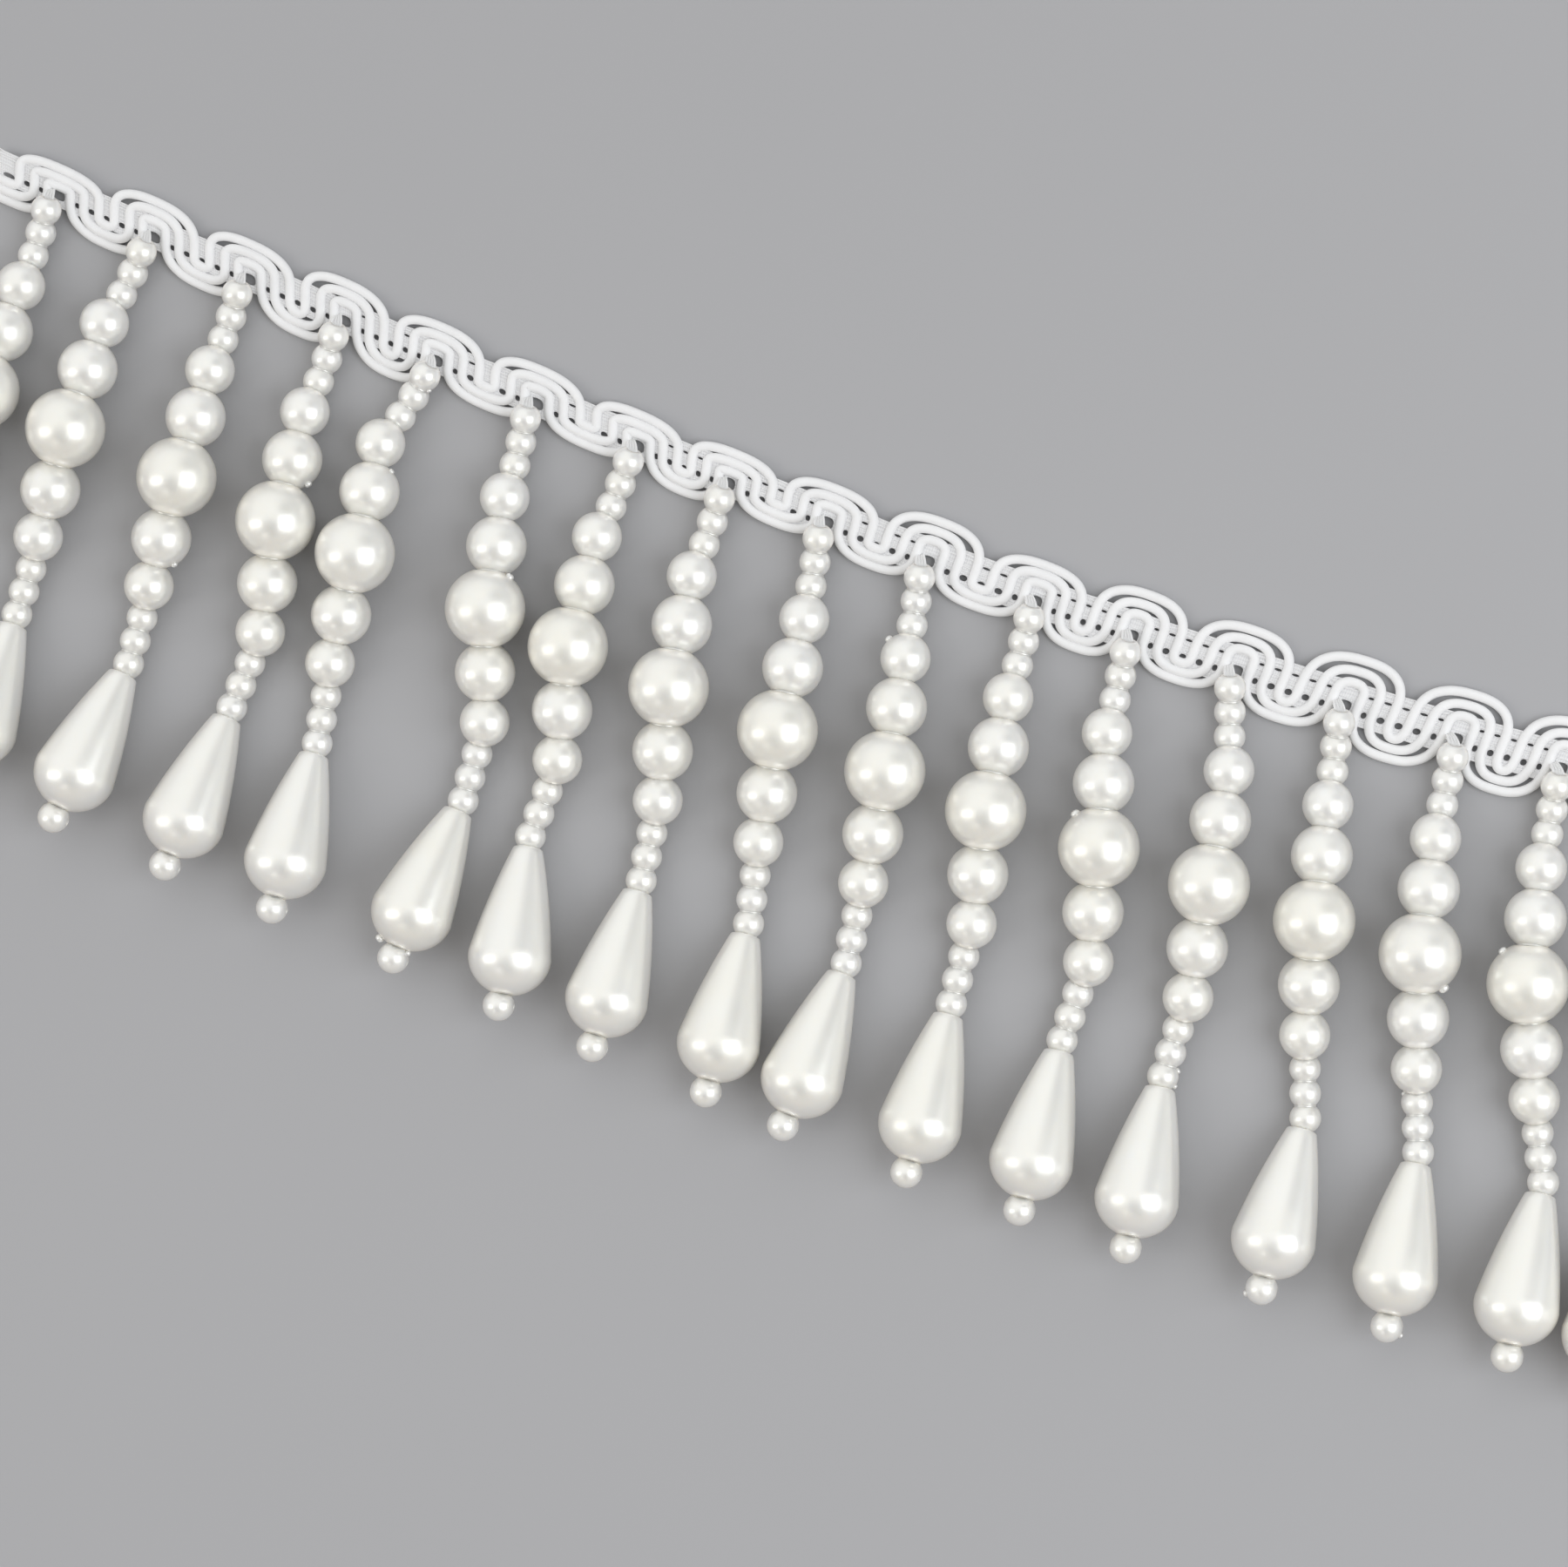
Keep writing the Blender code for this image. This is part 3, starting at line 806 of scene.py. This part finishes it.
    def strung(self, number: int, row: StrandRow, chance: random.Random) -> list[Strung]:
        """Every shape on one strand, with its nubs of flash and its collars."""
        middles = self.middles(row)
        kinds = [PearlKind.SMALL] + [kind for kind, _ in self.stringing]
        found = []
        for index, kind in enumerate(kinds):
            before = middles[max(index - 1, 0)]
            after = middles[min(index + 1, len(kinds) - 1)]
            creamy = self.large_cream if kind is PearlKind.LARGE else 0.0
            found.append(Strung(
                kind, middles[index], (after - before).normalized(), chance.uniform(0, self.whole_spin),
                creamy + chance.uniform(0.0, self.tint_spread)))
        collars = self.collars(found)
        axis = (middles[-2] - middles[-3]).normalized()
        across = axis.cross(Vector((0, 0, 1))).normalized()
        for kind, middle, bore, tints in (
                (PearlKind.DROP, middles[-2], axis, self.drop_tints),
                (PearlKind.END, middles[-1], across, (0.0, self.tint_spread))):
            spin = chance.uniform(0, self.whole_spin)
            found.append(Strung(kind, middle, bore, spin, chance.uniform(*tints)))
        for flash in self.flashes:
            if flash.strand == number:
                host = found[flash.shape]
                radius = self.shapes[host.kind].diameter / 2
                turn = math.radians(flash.turn)
                out = Vector((math.cos(turn), math.sin(turn), self.flash_rise)).normalized()
                found.append(Strung(PearlKind.NUB, host.middle + out * radius, out, 0.0, 0.0, flash.scale))
        return found + collars

    def tree(self) -> NodeTree:
        """A tree that sets the right shape on each point of a strand."""
        tree = NodeTree("string_pearls", (
            ("Shapes", "NodeSocketCollection", None), ("Finish", "NodeSocketMaterial", None)))
        shelf = tree.add(
            "GeometryNodeCollectionInfo", {"transform_space": "ORIGINAL"}, Collection=tree.source["Shapes"],
            Separate_Children=True, Reset_Children=True).outputs[0]
        turn = tree.add("FunctionNodeEulerToRotation", Euler=tree.named("turn", "FLOAT_VECTOR")).outputs[0]
        placed = tree.add(
            "GeometryNodeInstanceOnPoints", Points=tree.source["Geometry"], Instance=shelf,
            Pick_Instance=True, Instance_Index=tree.named("kind", "INT"), Rotation=turn,
            Scale=tree.named("stretch", "FLOAT_VECTOR"))
        tree.end(placed.outputs[0])
        return tree

    def shelf(self) -> bpy.types.Collection:
        """The shapes in a collection that isn't in the scene, named so that they keep their order."""
        shelf = bpy.data.collections.new("pearl_shapes")
        for kind, shape in self.shapes.items():
            shelf.objects.link(turned(f"shape_{kind.value}_{kind.name.lower()}", shape))
        return shelf

    def points(self, name: str, strung: list[Strung]) -> bpy.types.Object:
        """The strand's points with the attributes that the tree reads."""
        mesh = bpy.data.meshes.new(name)
        mesh.from_pydata([world(one.middle) for one in strung], [], [])
        turns = [
            one.bore.to_track_quat("Z", "X").to_matrix() @ Matrix.Rotation(one.spin, 3, "Z")
            for one in strung]
        columns: tuple[tuple[str, str, str, list], ...] = (
            ("kind", "INT", "value", [one.kind.value for one in strung]),
            ("tint", "FLOAT", "value", [one.tint for one in strung]),
            ("turn", "FLOAT_VECTOR", "vector", [tuple(turn.to_euler("XYZ")) for turn in turns]),
            ("stretch", "FLOAT_VECTOR", "vector", [(one.scale,) * 3 for one in strung]),
        )
        for title, kind, key, values in columns:
            data = mesh.attributes.new(title, kind, "POINT").data
            for item, value in zip(data, values):
                setattr(item, key, value)
        return linked(name, mesh)

    def build(self, finish: PearlFinish) -> None:
        chance = random.Random(self.seed)
        tree, shelf, lacquer = self.tree(), self.shelf(), finish.material()
        for number, row in enumerate(self.lay.rows):
            node = f"strand_{number + 1:02d}"
            seed = self.points(f"pearls_{number + 1:02d}", self.strung(number, row, chance))
            report(tree.apply(seed, {"Shapes": shelf, "Finish": lacquer}), "pearl", node)


@dataclass(frozen=True)
class Cord:
    """One cord's legs as a share of the way from arch to valley, and how many cords lie outside it."""

    name: str
    leg_share: float
    cords_above: int
    cords_below: int


@dataclass(frozen=True)
class Yarn:
    """How a cord or thread is laid: its radius in millimetres, its sides and the length of its steps."""

    radius: float
    sides: int
    step: float


@dataclass
class GimpBraid:
    """The scalloped braid: three cords that meander side by side over a fine knitted ground.

    The cords lie apart by crest_spacing at the tops of the arches and by dip_spacing at the bottoms of the
    valleys, or by a share of the height or depth where that is more. Rows are distances from the centre
    line, away from the strands. lower_holes and upper_holes say after which rows of the ground its
    openings lie, and inside_gap which of the gaps between legs is the one inside an arch. The sizes of
    the loop, the waist and the foot place the threads that hold a strand. Sizes are in millimetres.
    """

    lay: TrimLay
    strands: PearlStrands
    cords: tuple[Cord, ...] = (
        Cord("outer", 0.84, 0, 2), Cord("middle", 0.52, 1, 1), Cord("inner", 0.24, 2, 0))
    crest_spacing: float = 0.60
    crest_share: float = 0.28
    dip_spacing: float = 0.56
    dip_share: float = 0.235
    cord_yarn: Yarn = Yarn(0.32, 12, 0.11)
    closest: float = 0.02
    least_height: float = 0.25
    leg_straight: float = 0.4
    arc_steps: int = 28
    arc_power: float = 0.8
    band: float = 1.25
    sinks_before: float = 0.1
    sinks_beyond: float = 0.7
    band_narrow: float = 0.76
    band_wide: float = 1.05
    ground_low: float = 0.40
    ground_high: float = 0.50
    cord_middle: float = 0.52
    ground_rows: tuple[float, ...] = (-1.40, -1.10, -0.80, -0.40, 0.0, 0.48, 0.62, 0.95, 1.28)
    lower_holes: int = 2
    upper_holes: int = 5
    no_upper_before: float = -50.0
    all_upper_after: float = 30.0
    gap_columns: int = 3
    ground_rounding: int = 2
    gaps_per_arch: int = 6
    inside_gap: int = 3
    leg_cover: float = 0.34
    inside_cover: float = 0.46
    chain_rows: tuple[float, ...] = (-1.25, -0.95, 0.08, 0.30, 0.84, 1.16)
    chain_turn: float = 0.36
    chain_wave: float = 0.05
    turn_steps: int = 4
    rung_tilt: float = 0.05
    rung_bow: float = 0.03
    rung_heights: tuple[float, float] = (-0.02, 0.01)
    rung_rows: tuple[float, ...] = (-1.30, -1.06, 0.20, 0.76, 1.0, 1.20)
    low_rungs: tuple[float, ...] = (-0.30, -0.10)
    chain_yarn: Yarn = Yarn(0.045, 5, 0.16)
    rung_yarn: Yarn = Yarn(0.045, 6, 0.3)
    loop_yarn: Yarn = Yarn(0.10, 8, 0.14)
    loop_threads: int = 7
    loop_steps: int = 10
    loop_from: float = 0.6
    loop_wide: float = 0.6
    waist_from: float = 1.15
    waist_wide: float = 0.7
    waist_left: float = 0.1
    foot_from_leg: float = 0.12
    foot_wide: float = 0.3
    foot_t: float = -0.26
    foot_slope: float = 0.2
    foot_uneven: float = 0.12
    seed: int = 11

    def legs(self, cord: Cord, arch: int) -> tuple[float, float]:
        """Where a cord's two legs stand on either side of an arch's middle."""
        valleys = self.lay.valley_middles()
        middle = self.lay.rows[arch].place
        left = middle - cord.leg_share * (middle - valleys[arch])
        right = middle + cord.leg_share * (valleys[arch + 1] - middle)
        return left, right

    def crest(self, cord: Cord, row: StrandRow) -> float:
        """The height of a cord over the centre line at the top of its arch."""
        spacing = max(self.crest_spacing, self.crest_share * row.crest)
        return max(self.least_height, row.crest - cord.cords_above * spacing)

    def depth(self, cord: Cord, row: StrandRow) -> float:
        """The depth of a cord under the centre line at the bottom of the valley after an arch."""
        spacing = max(self.dip_spacing, self.dip_share * row.dip)
        return max(self.least_height, row.dip - cord.cords_below * spacing)

    def arc(self, left: float, right: float, height: float) -> list[tuple[float, float]]:
        """A flattened arch from one leg to the next: pairs of place along and distance across."""
        middle, half = (left + right) / 2, (right - left) / 2
        base = math.copysign(min(self.leg_straight, abs(height) / 2), height)
        points = []
        for step in range(self.arc_steps + 1):
            turn = math.pi * step / self.arc_steps
            sideways = math.copysign(abs(math.cos(turn)) ** self.arc_power, -math.cos(turn))
            rise = max(0.0, math.sin(turn)) ** self.arc_power
            points.append((middle + half * sideways, base + (height - base) * rise))
        return points

    def route(self, cord: Cord) -> list[tuple[float, float]]:
        """A cord from end to end of the braid, over each arch and through each valley."""
        rows, valleys, cuts = self.lay.rows, self.lay.valley_middles(), self.lay.cuts()
        half = self.arc_steps // 2
        first = self.legs(cord, 0)[0]
        route = self.arc(2 * valleys[0] - first, first, -self.depth(cord, rows[0]))[half:]
        route.insert(0, (cuts[0], route[0][1]))
        for arch, row in enumerate(rows):
            left, right = self.legs(cord, arch)
            route += self.arc(left, right, self.crest(cord, row))
            following = self.legs(cord, arch + 1)[0] if arch + 1 < len(rows) else 2 * valleys[-1] - right
            dip = self.arc(right, following, -self.depth(cord, row))
            route += dip if arch + 1 < len(rows) else dip[:half + 1]
        return route + [(cuts[1], route[-1][1])]

    def lift(self, t: float) -> float:
        """The height of a cord's middle: in the ground inside the band, down on the surface beyond it."""
        beyond = smooth(abs(t), self.band - self.sinks_before, self.band + self.sinks_beyond)
        return self.cord_middle + beyond * (self.cord_yarn.radius + self.closest - self.cord_middle)

    def band_share(self, along: float) -> float:
        """How wide the ground is at a place along the braid, which is pulled narrower at the left."""
        share = smooth(along, -self.lay.half, self.lay.half)
        return self.band_narrow + (self.band_wide - self.band_narrow) * share

    def clear_of_pearls(self, point: Vector, first_pearls: list[Vector], radius: float) -> Vector:
        """A cord's point, moved out sideways where it would lie in a first pearl."""
        reach = radius + self.cord_yarn.radius
        for pearl in first_pearls:
            aside = Vector((point.x - pearl.x, point.y - pearl.y, 0.0))
            rise = point.z - pearl.z
            least = math.sqrt(max(0.0, reach * reach - rise * rise))
            if 0 < aside.length < least:
                point = point + aside.normalized() * (least - aside.length)
        return point

    def thread_tree(self) -> NodeTree:
        """A tree that lays a round cord along lines and keeps the distance run as an attribute."""
        tree = NodeTree("lay_cord", (
            ("Radius", "NodeSocketFloat", 0.0003), ("Sides", "NodeSocketInt", 8),
            ("Step", "NodeSocketFloat", 0.0001), ("Finish", "NodeSocketMaterial", None)))
        line = tree.add("GeometryNodeMeshToCurve", Mesh=tree.source["Geometry"]).outputs[0]
        evened = tree.add(
            "GeometryNodeResampleCurve", {"mode": "LENGTH"}, Curve=line,
            Length=tree.source["Step"]).outputs[0]
        run = tree.add("GeometryNodeSplineParameter").outputs["Length"]
        kept = tree.add(
            "GeometryNodeStoreNamedAttribute", {"data_type": "FLOAT", "domain": "POINT"},
            Geometry=evened, Name="run", Value=run).outputs[0]
        ring = tree.add(
            "GeometryNodeCurvePrimitiveCircle", Resolution=tree.source["Sides"],
            Radius=tree.source["Radius"]).outputs[0]
        solid = tree.add("GeometryNodeCurveToMesh", Curve=kept, Profile_Curve=ring, Fill_Caps=True).outputs[0]
        tree.end(solid)
        return tree

    def laid(
            self, tree: NodeTree, name: str, lines: Sequence[Sequence[Vector]], yarn: Yarn,
            material: bpy.types.Material) -> bpy.types.Object:
        """Cords or threads along lines.

        Args:
            tree: the tree that lays them.
            name: the piece's name.
            lines: the lines in millimetres.
            yarn: how thick it is and how finely it is laid.
            material: its finish.

        Returns:
            The piece.
        """
        values = {
            "Radius": yarn.radius * MM, "Sides": yarn.sides, "Step": yarn.step * MM, "Finish": material}
        return tree.apply(lines_object(name, lines), values)

    def first_pearls(self) -> list[Vector]:
        """The middles of the strands' first pearls."""
        return [self.strands.middles(row)[0] for row in self.lay.rows]

    def build_cords(self, tree: NodeTree, finish: CordFinish) -> None:
        """The three cords."""
        material = finish.material()
        pearls = self.first_pearls()
        radius = self.strands.shapes[PearlKind.SMALL].diameter / 2
        for cord in self.cords:
            line = []
            for along, t in self.route(cord):
                point = self.clear_of_pearls(self.lay.on_braid(along, t, self.lift(t)), pearls, radius)
                if not line or (point - line[-1]).length > self.closest:
                    line.append(point)
            piece = self.laid(tree, f"gimp_cord_{cord.name}", [line], self.cord_yarn, material)
            nodes = ("gimp_braid",) if cord.name == "outer" else ()
            report(piece, "gimp", *nodes)

    def gap_sides(self) -> list[tuple[float, float]]:
        """The places along the braid of each pair of neighbouring legs."""
        legs: list[float] = [self.lay.cuts()[0]]
        for arch in range(len(self.lay.rows)):
            pairs = [self.legs(cord, arch) for cord in self.cords]
            legs += [pair[0] for pair in pairs] + [pair[1] for pair in reversed(pairs)]
        legs.append(self.lay.cuts()[1])
        return list(zip(legs, legs[1:]))

    def is_inside(self, gap: int) -> bool:
        """Whether a gap is the one inside an arch of the inner cord."""
        return gap % self.gaps_per_arch == self.inside_gap

    def build_ground(self, finish: KnitFinish) -> None:
        """The knitted ground: a thin band with a row of openings between the legs."""
        columns: list[tuple[float, bool]] = []
        for number, (left, right) in enumerate(self.gap_sides()):
            cover = self.inside_cover if self.is_inside(number) else self.leg_cover
            cover = min(cover, (right - left) / self.gap_columns)
            columns += [(left, False), (left + cover, True), (right - cover, False)]
        columns.append((self.gap_sides()[-1][1], False))
        chance = random.Random(self.seed)
        made = bmesh.new()
        mapping = made.loops.layers.uv.new("UVMap")
        grid = []
        for along, _ in columns:
            wide = self.band_share(along)
            grid.append([
                made.verts.new(world(self.lay.on_braid(along, t * wide, self.ground_high)))
                for t in self.ground_rows])
        for index, (along, gap) in enumerate(columns[:-1]):
            open_above = chance.random() < smooth(along, self.no_upper_before, self.all_upper_after)
            for row in range(len(self.ground_rows) - 1):
                inside = self.is_inside(index // self.gap_columns)
                upper = row == self.upper_holes and open_above and not inside
                lower = row == self.lower_holes or inside and row == self.lower_holes + 1
                if gap and (upper or lower):
                    continue
                places = ((index, row), (index + 1, row), (index + 1, row + 1), (index, row + 1))
                face = made.faces.new([grid[column][across] for column, across in places])
                for loop, (column, across) in zip(face.loops, places):
                    loop[mapping].uv = (columns[column][0], self.ground_rows[across])
        loose = [vert for vert in made.verts if not vert.link_faces]
        bmesh.ops.delete(made, geom=loose, context="VERTS")
        mesh = bpy.data.meshes.new("knitted_ground")
        made.to_mesh(mesh)
        made.free()
        mesh.materials.append(finish.material())
        ground = linked("knitted_ground", mesh)
        shell = ground.modifiers.new("thickness", "SOLIDIFY")
        shell.thickness = (self.ground_high - self.ground_low) * MM
        shell.offset = -1.0
        rounding = ground.modifiers.new("rounding", "SUBSURF")
        rounding.levels = rounding.render_levels = self.ground_rounding
        ground = plain_mesh(ground)
        ground.data.shade_smooth()
        report(ground, "gimp")

    def build_knitting(self, tree: NodeTree, finish: CordFinish) -> None:
        """The threads of the ground: chains along its back and rungs from leg to leg on its face."""
        chance = random.Random(self.seed)
        first, last = self.lay.cuts()
        chains = []
        for t in self.chain_rows:
            steps = int((last - first) / (self.chain_turn / self.turn_steps))
            line = []
            for step in range(steps + 1):
                along = first + (last - first) * step / steps
                wave = self.chain_wave * math.sin(2 * math.pi * along / self.chain_turn)
                line.append(self.lay.on_braid(along, t * self.band_share(along) + wave, self.ground_low))
            chains.append(line)
        material = finish.material()
        report(self.laid(tree, "back_chains", chains, self.chain_yarn, material), "gimp")
        rungs = []
        for number, (left, right) in enumerate(self.gap_sides()):
            wide = self.band_share(left)
            for row in self.rung_rows if self.is_inside(number) else self.low_rungs + self.rung_rows:
                t = row * wide
                tilt = chance.uniform(-self.rung_tilt, self.rung_tilt)
                z = self.ground_high + chance.uniform(*self.rung_heights)
                bow = chance.uniform(-self.rung_bow, self.rung_bow)
                ends = [(left, t - tilt), ((left + right) / 2, t + bow), (right, t + tilt)]
                rungs.append([self.lay.on_braid(along, across, z) for along, across in ends])
        report(self.laid(tree, "ladder_threads", rungs, self.rung_yarn, material), "gimp")

    def build_threads(self, tree: NodeTree, finish: CordFinish) -> None:
        """The threads that the pearls hang on, looped through the ground inside each arch."""
        lines = []
        for row in self.lay.rows:
            middles = self.strands.middles(row)
            lines.append(middles)
            up = (middles[0] - middles[1]).normalized()
            run = self.lay.run_at(row.place)
            across = Vector((run.x, run.y, 0.0))
            left = self.legs(self.cords[-1], self.lay.rows.index(row))[0]
            for number in range(self.loop_threads):
                share = number / (self.loop_threads - 1) - 0.5
                start = middles[0] + up * self.loop_from + across * (self.loop_wide * share)
                aside = self.waist_wide * share - self.waist_left
                waist = middles[0] + up * self.waist_from + across * aside
                foot = left + self.foot_from_leg + self.foot_wide * (share + 0.5)
                foot_t = self.foot_t + self.foot_slope * share + self.foot_uneven * (-1) ** number
                end = self.lay.on_braid(foot, foot_t, self.ground_low)
                line = []
                for step in range(self.loop_steps + 1):
                    turn = step / self.loop_steps
                    line.append(start * (1 - turn) ** 2 + waist * (2 * turn * (1 - turn)) + end * turn ** 2)
                lines.append(line)
        report(self.laid(tree, "strand_threads", lines, self.loop_yarn, finish.material()), "gimp")

    def build(self) -> None:
        tree = self.thread_tree()
        self.build_cords(tree, CordFinish(
            "satin_gimp", colour=(0.88, 0.88, 0.88, 1.0), shade=(0.85, 0.85, 0.85, 1.0), roughness=0.50,
            turn=0.00011, turn_depth=0.0000008))
        self.build_ground(KnitFinish())
        self.build_knitting(tree, CordFinish(
            "fine_thread", colour=(0.87, 0.87, 0.87, 1.0), shade=(0.80, 0.80, 0.80, 1.0), roughness=0.55,
            turn=0.00005, turn_depth=0.000001))
        self.build_threads(tree, CordFinish(
            "stringing_thread", colour=(0.89, 0.89, 0.88, 1.0), shade=(0.86, 0.86, 0.85, 1.0),
            roughness=0.4, turn=0.00008, turn_depth=0.000001, glow=0.3))


@dataclass(frozen=True)
class SoftLight:
    """A soft light, placed by its direction in the picture's own axes: right, up and off the surface."""

    name: str
    towards: tuple[float, float, float]
    size: tuple[float, float]
    power: float
    colour: tuple[float, float, float]


@dataclass(frozen=True)
class SkyPatch:
    """A soft lighter or darker part of the room's light, placed by its direction in the picture's own axes.

    near and far are the cosines of the angles at which its change of strength is whole and none.
    """

    name: str
    towards: tuple[float, float, float]
    near: float
    far: float
    change: float


@dataclass
class Studio:
    """The pale surface, the soft lights and the camera over the trim.

    The target, the lens and the sensor are in millimetres and the other distances in metres. The turn
    and the tilt are in degrees.
    """

    picture_turn: float = 20.7
    camera_tilt: float = 7.0
    camera_distance: float = 0.300
    lens: float = 105.0
    sensor: float = 36.0
    nearest: float = 0.01
    surface_half: float = 1.5
    target: tuple[float, float, float] = (-0.082, -0.594, 0.0)
    light_distance: float = 0.55
    lights: tuple[SoftLight, ...] = (
        SoftLight("window_right", (0.68, -0.17, 0.72), (0.44, 0.40), 1.45, (0.93, 0.96, 1.0)),
        SoftLight("window_left", (-0.76, -0.16, 0.63), (0.34, 0.14), 0.38, (1.0, 0.98, 0.95)),
        SoftLight("low_left", (-0.36, -0.66, 0.66), (0.14, 0.10), 0.05, (1.0, 0.98, 0.95)),
    )
    patches: tuple[SkyPatch, ...] = (
        SkyPatch("open_above", (-0.25, 0.65, 0.72), 0.95, 0.30, 0.45),
        SkyPatch("dark_middle", (0.02, -0.45, 0.89), 0.97, 0.84, -0.34),
        SkyPatch("dark_streak", (0.58, 0.52, 0.63), 0.985, 0.92, -0.40),
    )
    sky: tuple[float, float, float, float] = (1.0, 1.0, 1.0, 1.0)
    warm_sky: tuple[float, float, float, float] = (1.0, 0.93, 0.86, 1.0)
    warm_from: float = 0.15
    warm_whole: float = 0.85
    sky_strength: float = 0.53

    def axes(self) -> tuple[Vector, Vector, Vector]:
        """The picture's right and up directions in the surface, and straight up from it."""
        turn = math.radians(self.picture_turn)
        right = Vector((math.cos(turn), math.sin(turn), 0.0))
        up = Vector((-math.sin(turn), math.cos(turn), 0.0))
        return right, up, Vector((0.0, 0.0, 1.0))

    def build_surface(self) -> None:
        """The plain floor."""
        side = self.surface_half
        corners = [(-side, -side, 0), (side, -side, 0), (side, side, 0), (-side, side, 0)]
        mesh = bpy.data.meshes.new("surface")
        mesh.from_pydata(corners, [], [(0, 1, 2, 3)])
        mesh.materials.append(SurfaceFinish().material())
        linked("surface", mesh)

    def build_lights(self) -> None:
        """The soft lights and the even light of the room, seen with plain colours."""
        right, up, high = self.axes()
        middle = world(self.target)
        for light in self.lights:
            data = bpy.data.lights.new(light.name, "AREA")
            data.shape = "RECTANGLE"
            data.size, data.size_y = light.size
            data.energy = light.power
            data.color = light.colour
            lamp = bpy.data.objects.new(light.name, data)
            bpy.context.scene.collection.objects.link(lamp)
            across, along, towards = light.towards
            direction = (right * across + up * along + high * towards).normalized()
            lamp.matrix_world = self.facing(middle + direction * self.light_distance, direction, up)
        self.build_room()
        bpy.context.scene.view_settings.view_transform = "Standard"

    def build_room(self) -> None:
        """The room's even light, warmer from the bottom of the picture, with its soft patches."""
        right, up, high = self.axes()
        sheet = ShaderSheet(bpy.data.worlds.new("room"))
        warmth = sheet.spread(sheet.towards(-up), self.warm_from, self.warm_whole, 0.0, 1.0)
        strength: float | bpy.types.NodeSocket = self.sky_strength
        for patch in self.patches:
            across, along, towards = patch.towards
            near = sheet.towards((right * across + up * along + high * towards).normalized())
            share = sheet.spread(near, patch.far, patch.near, 0.0, patch.change, "SMOOTHSTEP")
            strength = sheet.maths("ADD", share, strength)
        colour = sheet.blend(warmth, self.sky, self.warm_sky)
        bpy.context.scene.world = sheet.finish(Color=colour, Strength=strength)

    def facing(self, place: Vector, back: Vector, up: Vector) -> Matrix:
        """A placing whose local z points back, with its local y as near up as can be."""
        across = up.cross(back).normalized()
        upward = back.cross(across)
        turn = Matrix((across, upward, back)).transposed().to_4x4()
        return Matrix.Translation(place) @ turn

    def build_camera(self) -> None:
        """The camera, tilted a little towards the right of the picture."""
        right, up, high = self.axes()
        tilt = math.radians(self.camera_tilt)
        back = right * math.sin(tilt) + high * math.cos(tilt)
        data = bpy.data.cameras.new("camera")
        data.lens = self.lens
        data.sensor_width = self.sensor
        data.clip_start = self.nearest
        camera = bpy.data.objects.new("camera", data)
        bpy.context.scene.collection.objects.link(camera)
        camera.matrix_world = self.facing(world(self.target) + back * self.camera_distance, back, up)
        bpy.context.scene.camera = camera

    def build(self) -> None:
        """Builds the stage."""
        self.build_surface()
        self.build_lights()
        self.build_camera()


def main() -> None:
    """Builds the stage, the strands and the braid."""
    logging.basicConfig(level=logging.INFO, format="%(name)s: %(message)s")
    Studio().build()
    lay = TrimLay()
    strands = PearlStrands(lay)
    strands.build(PearlFinish())
    GimpBraid(lay, strands).build()


if __name__ == "__main__":
    main()
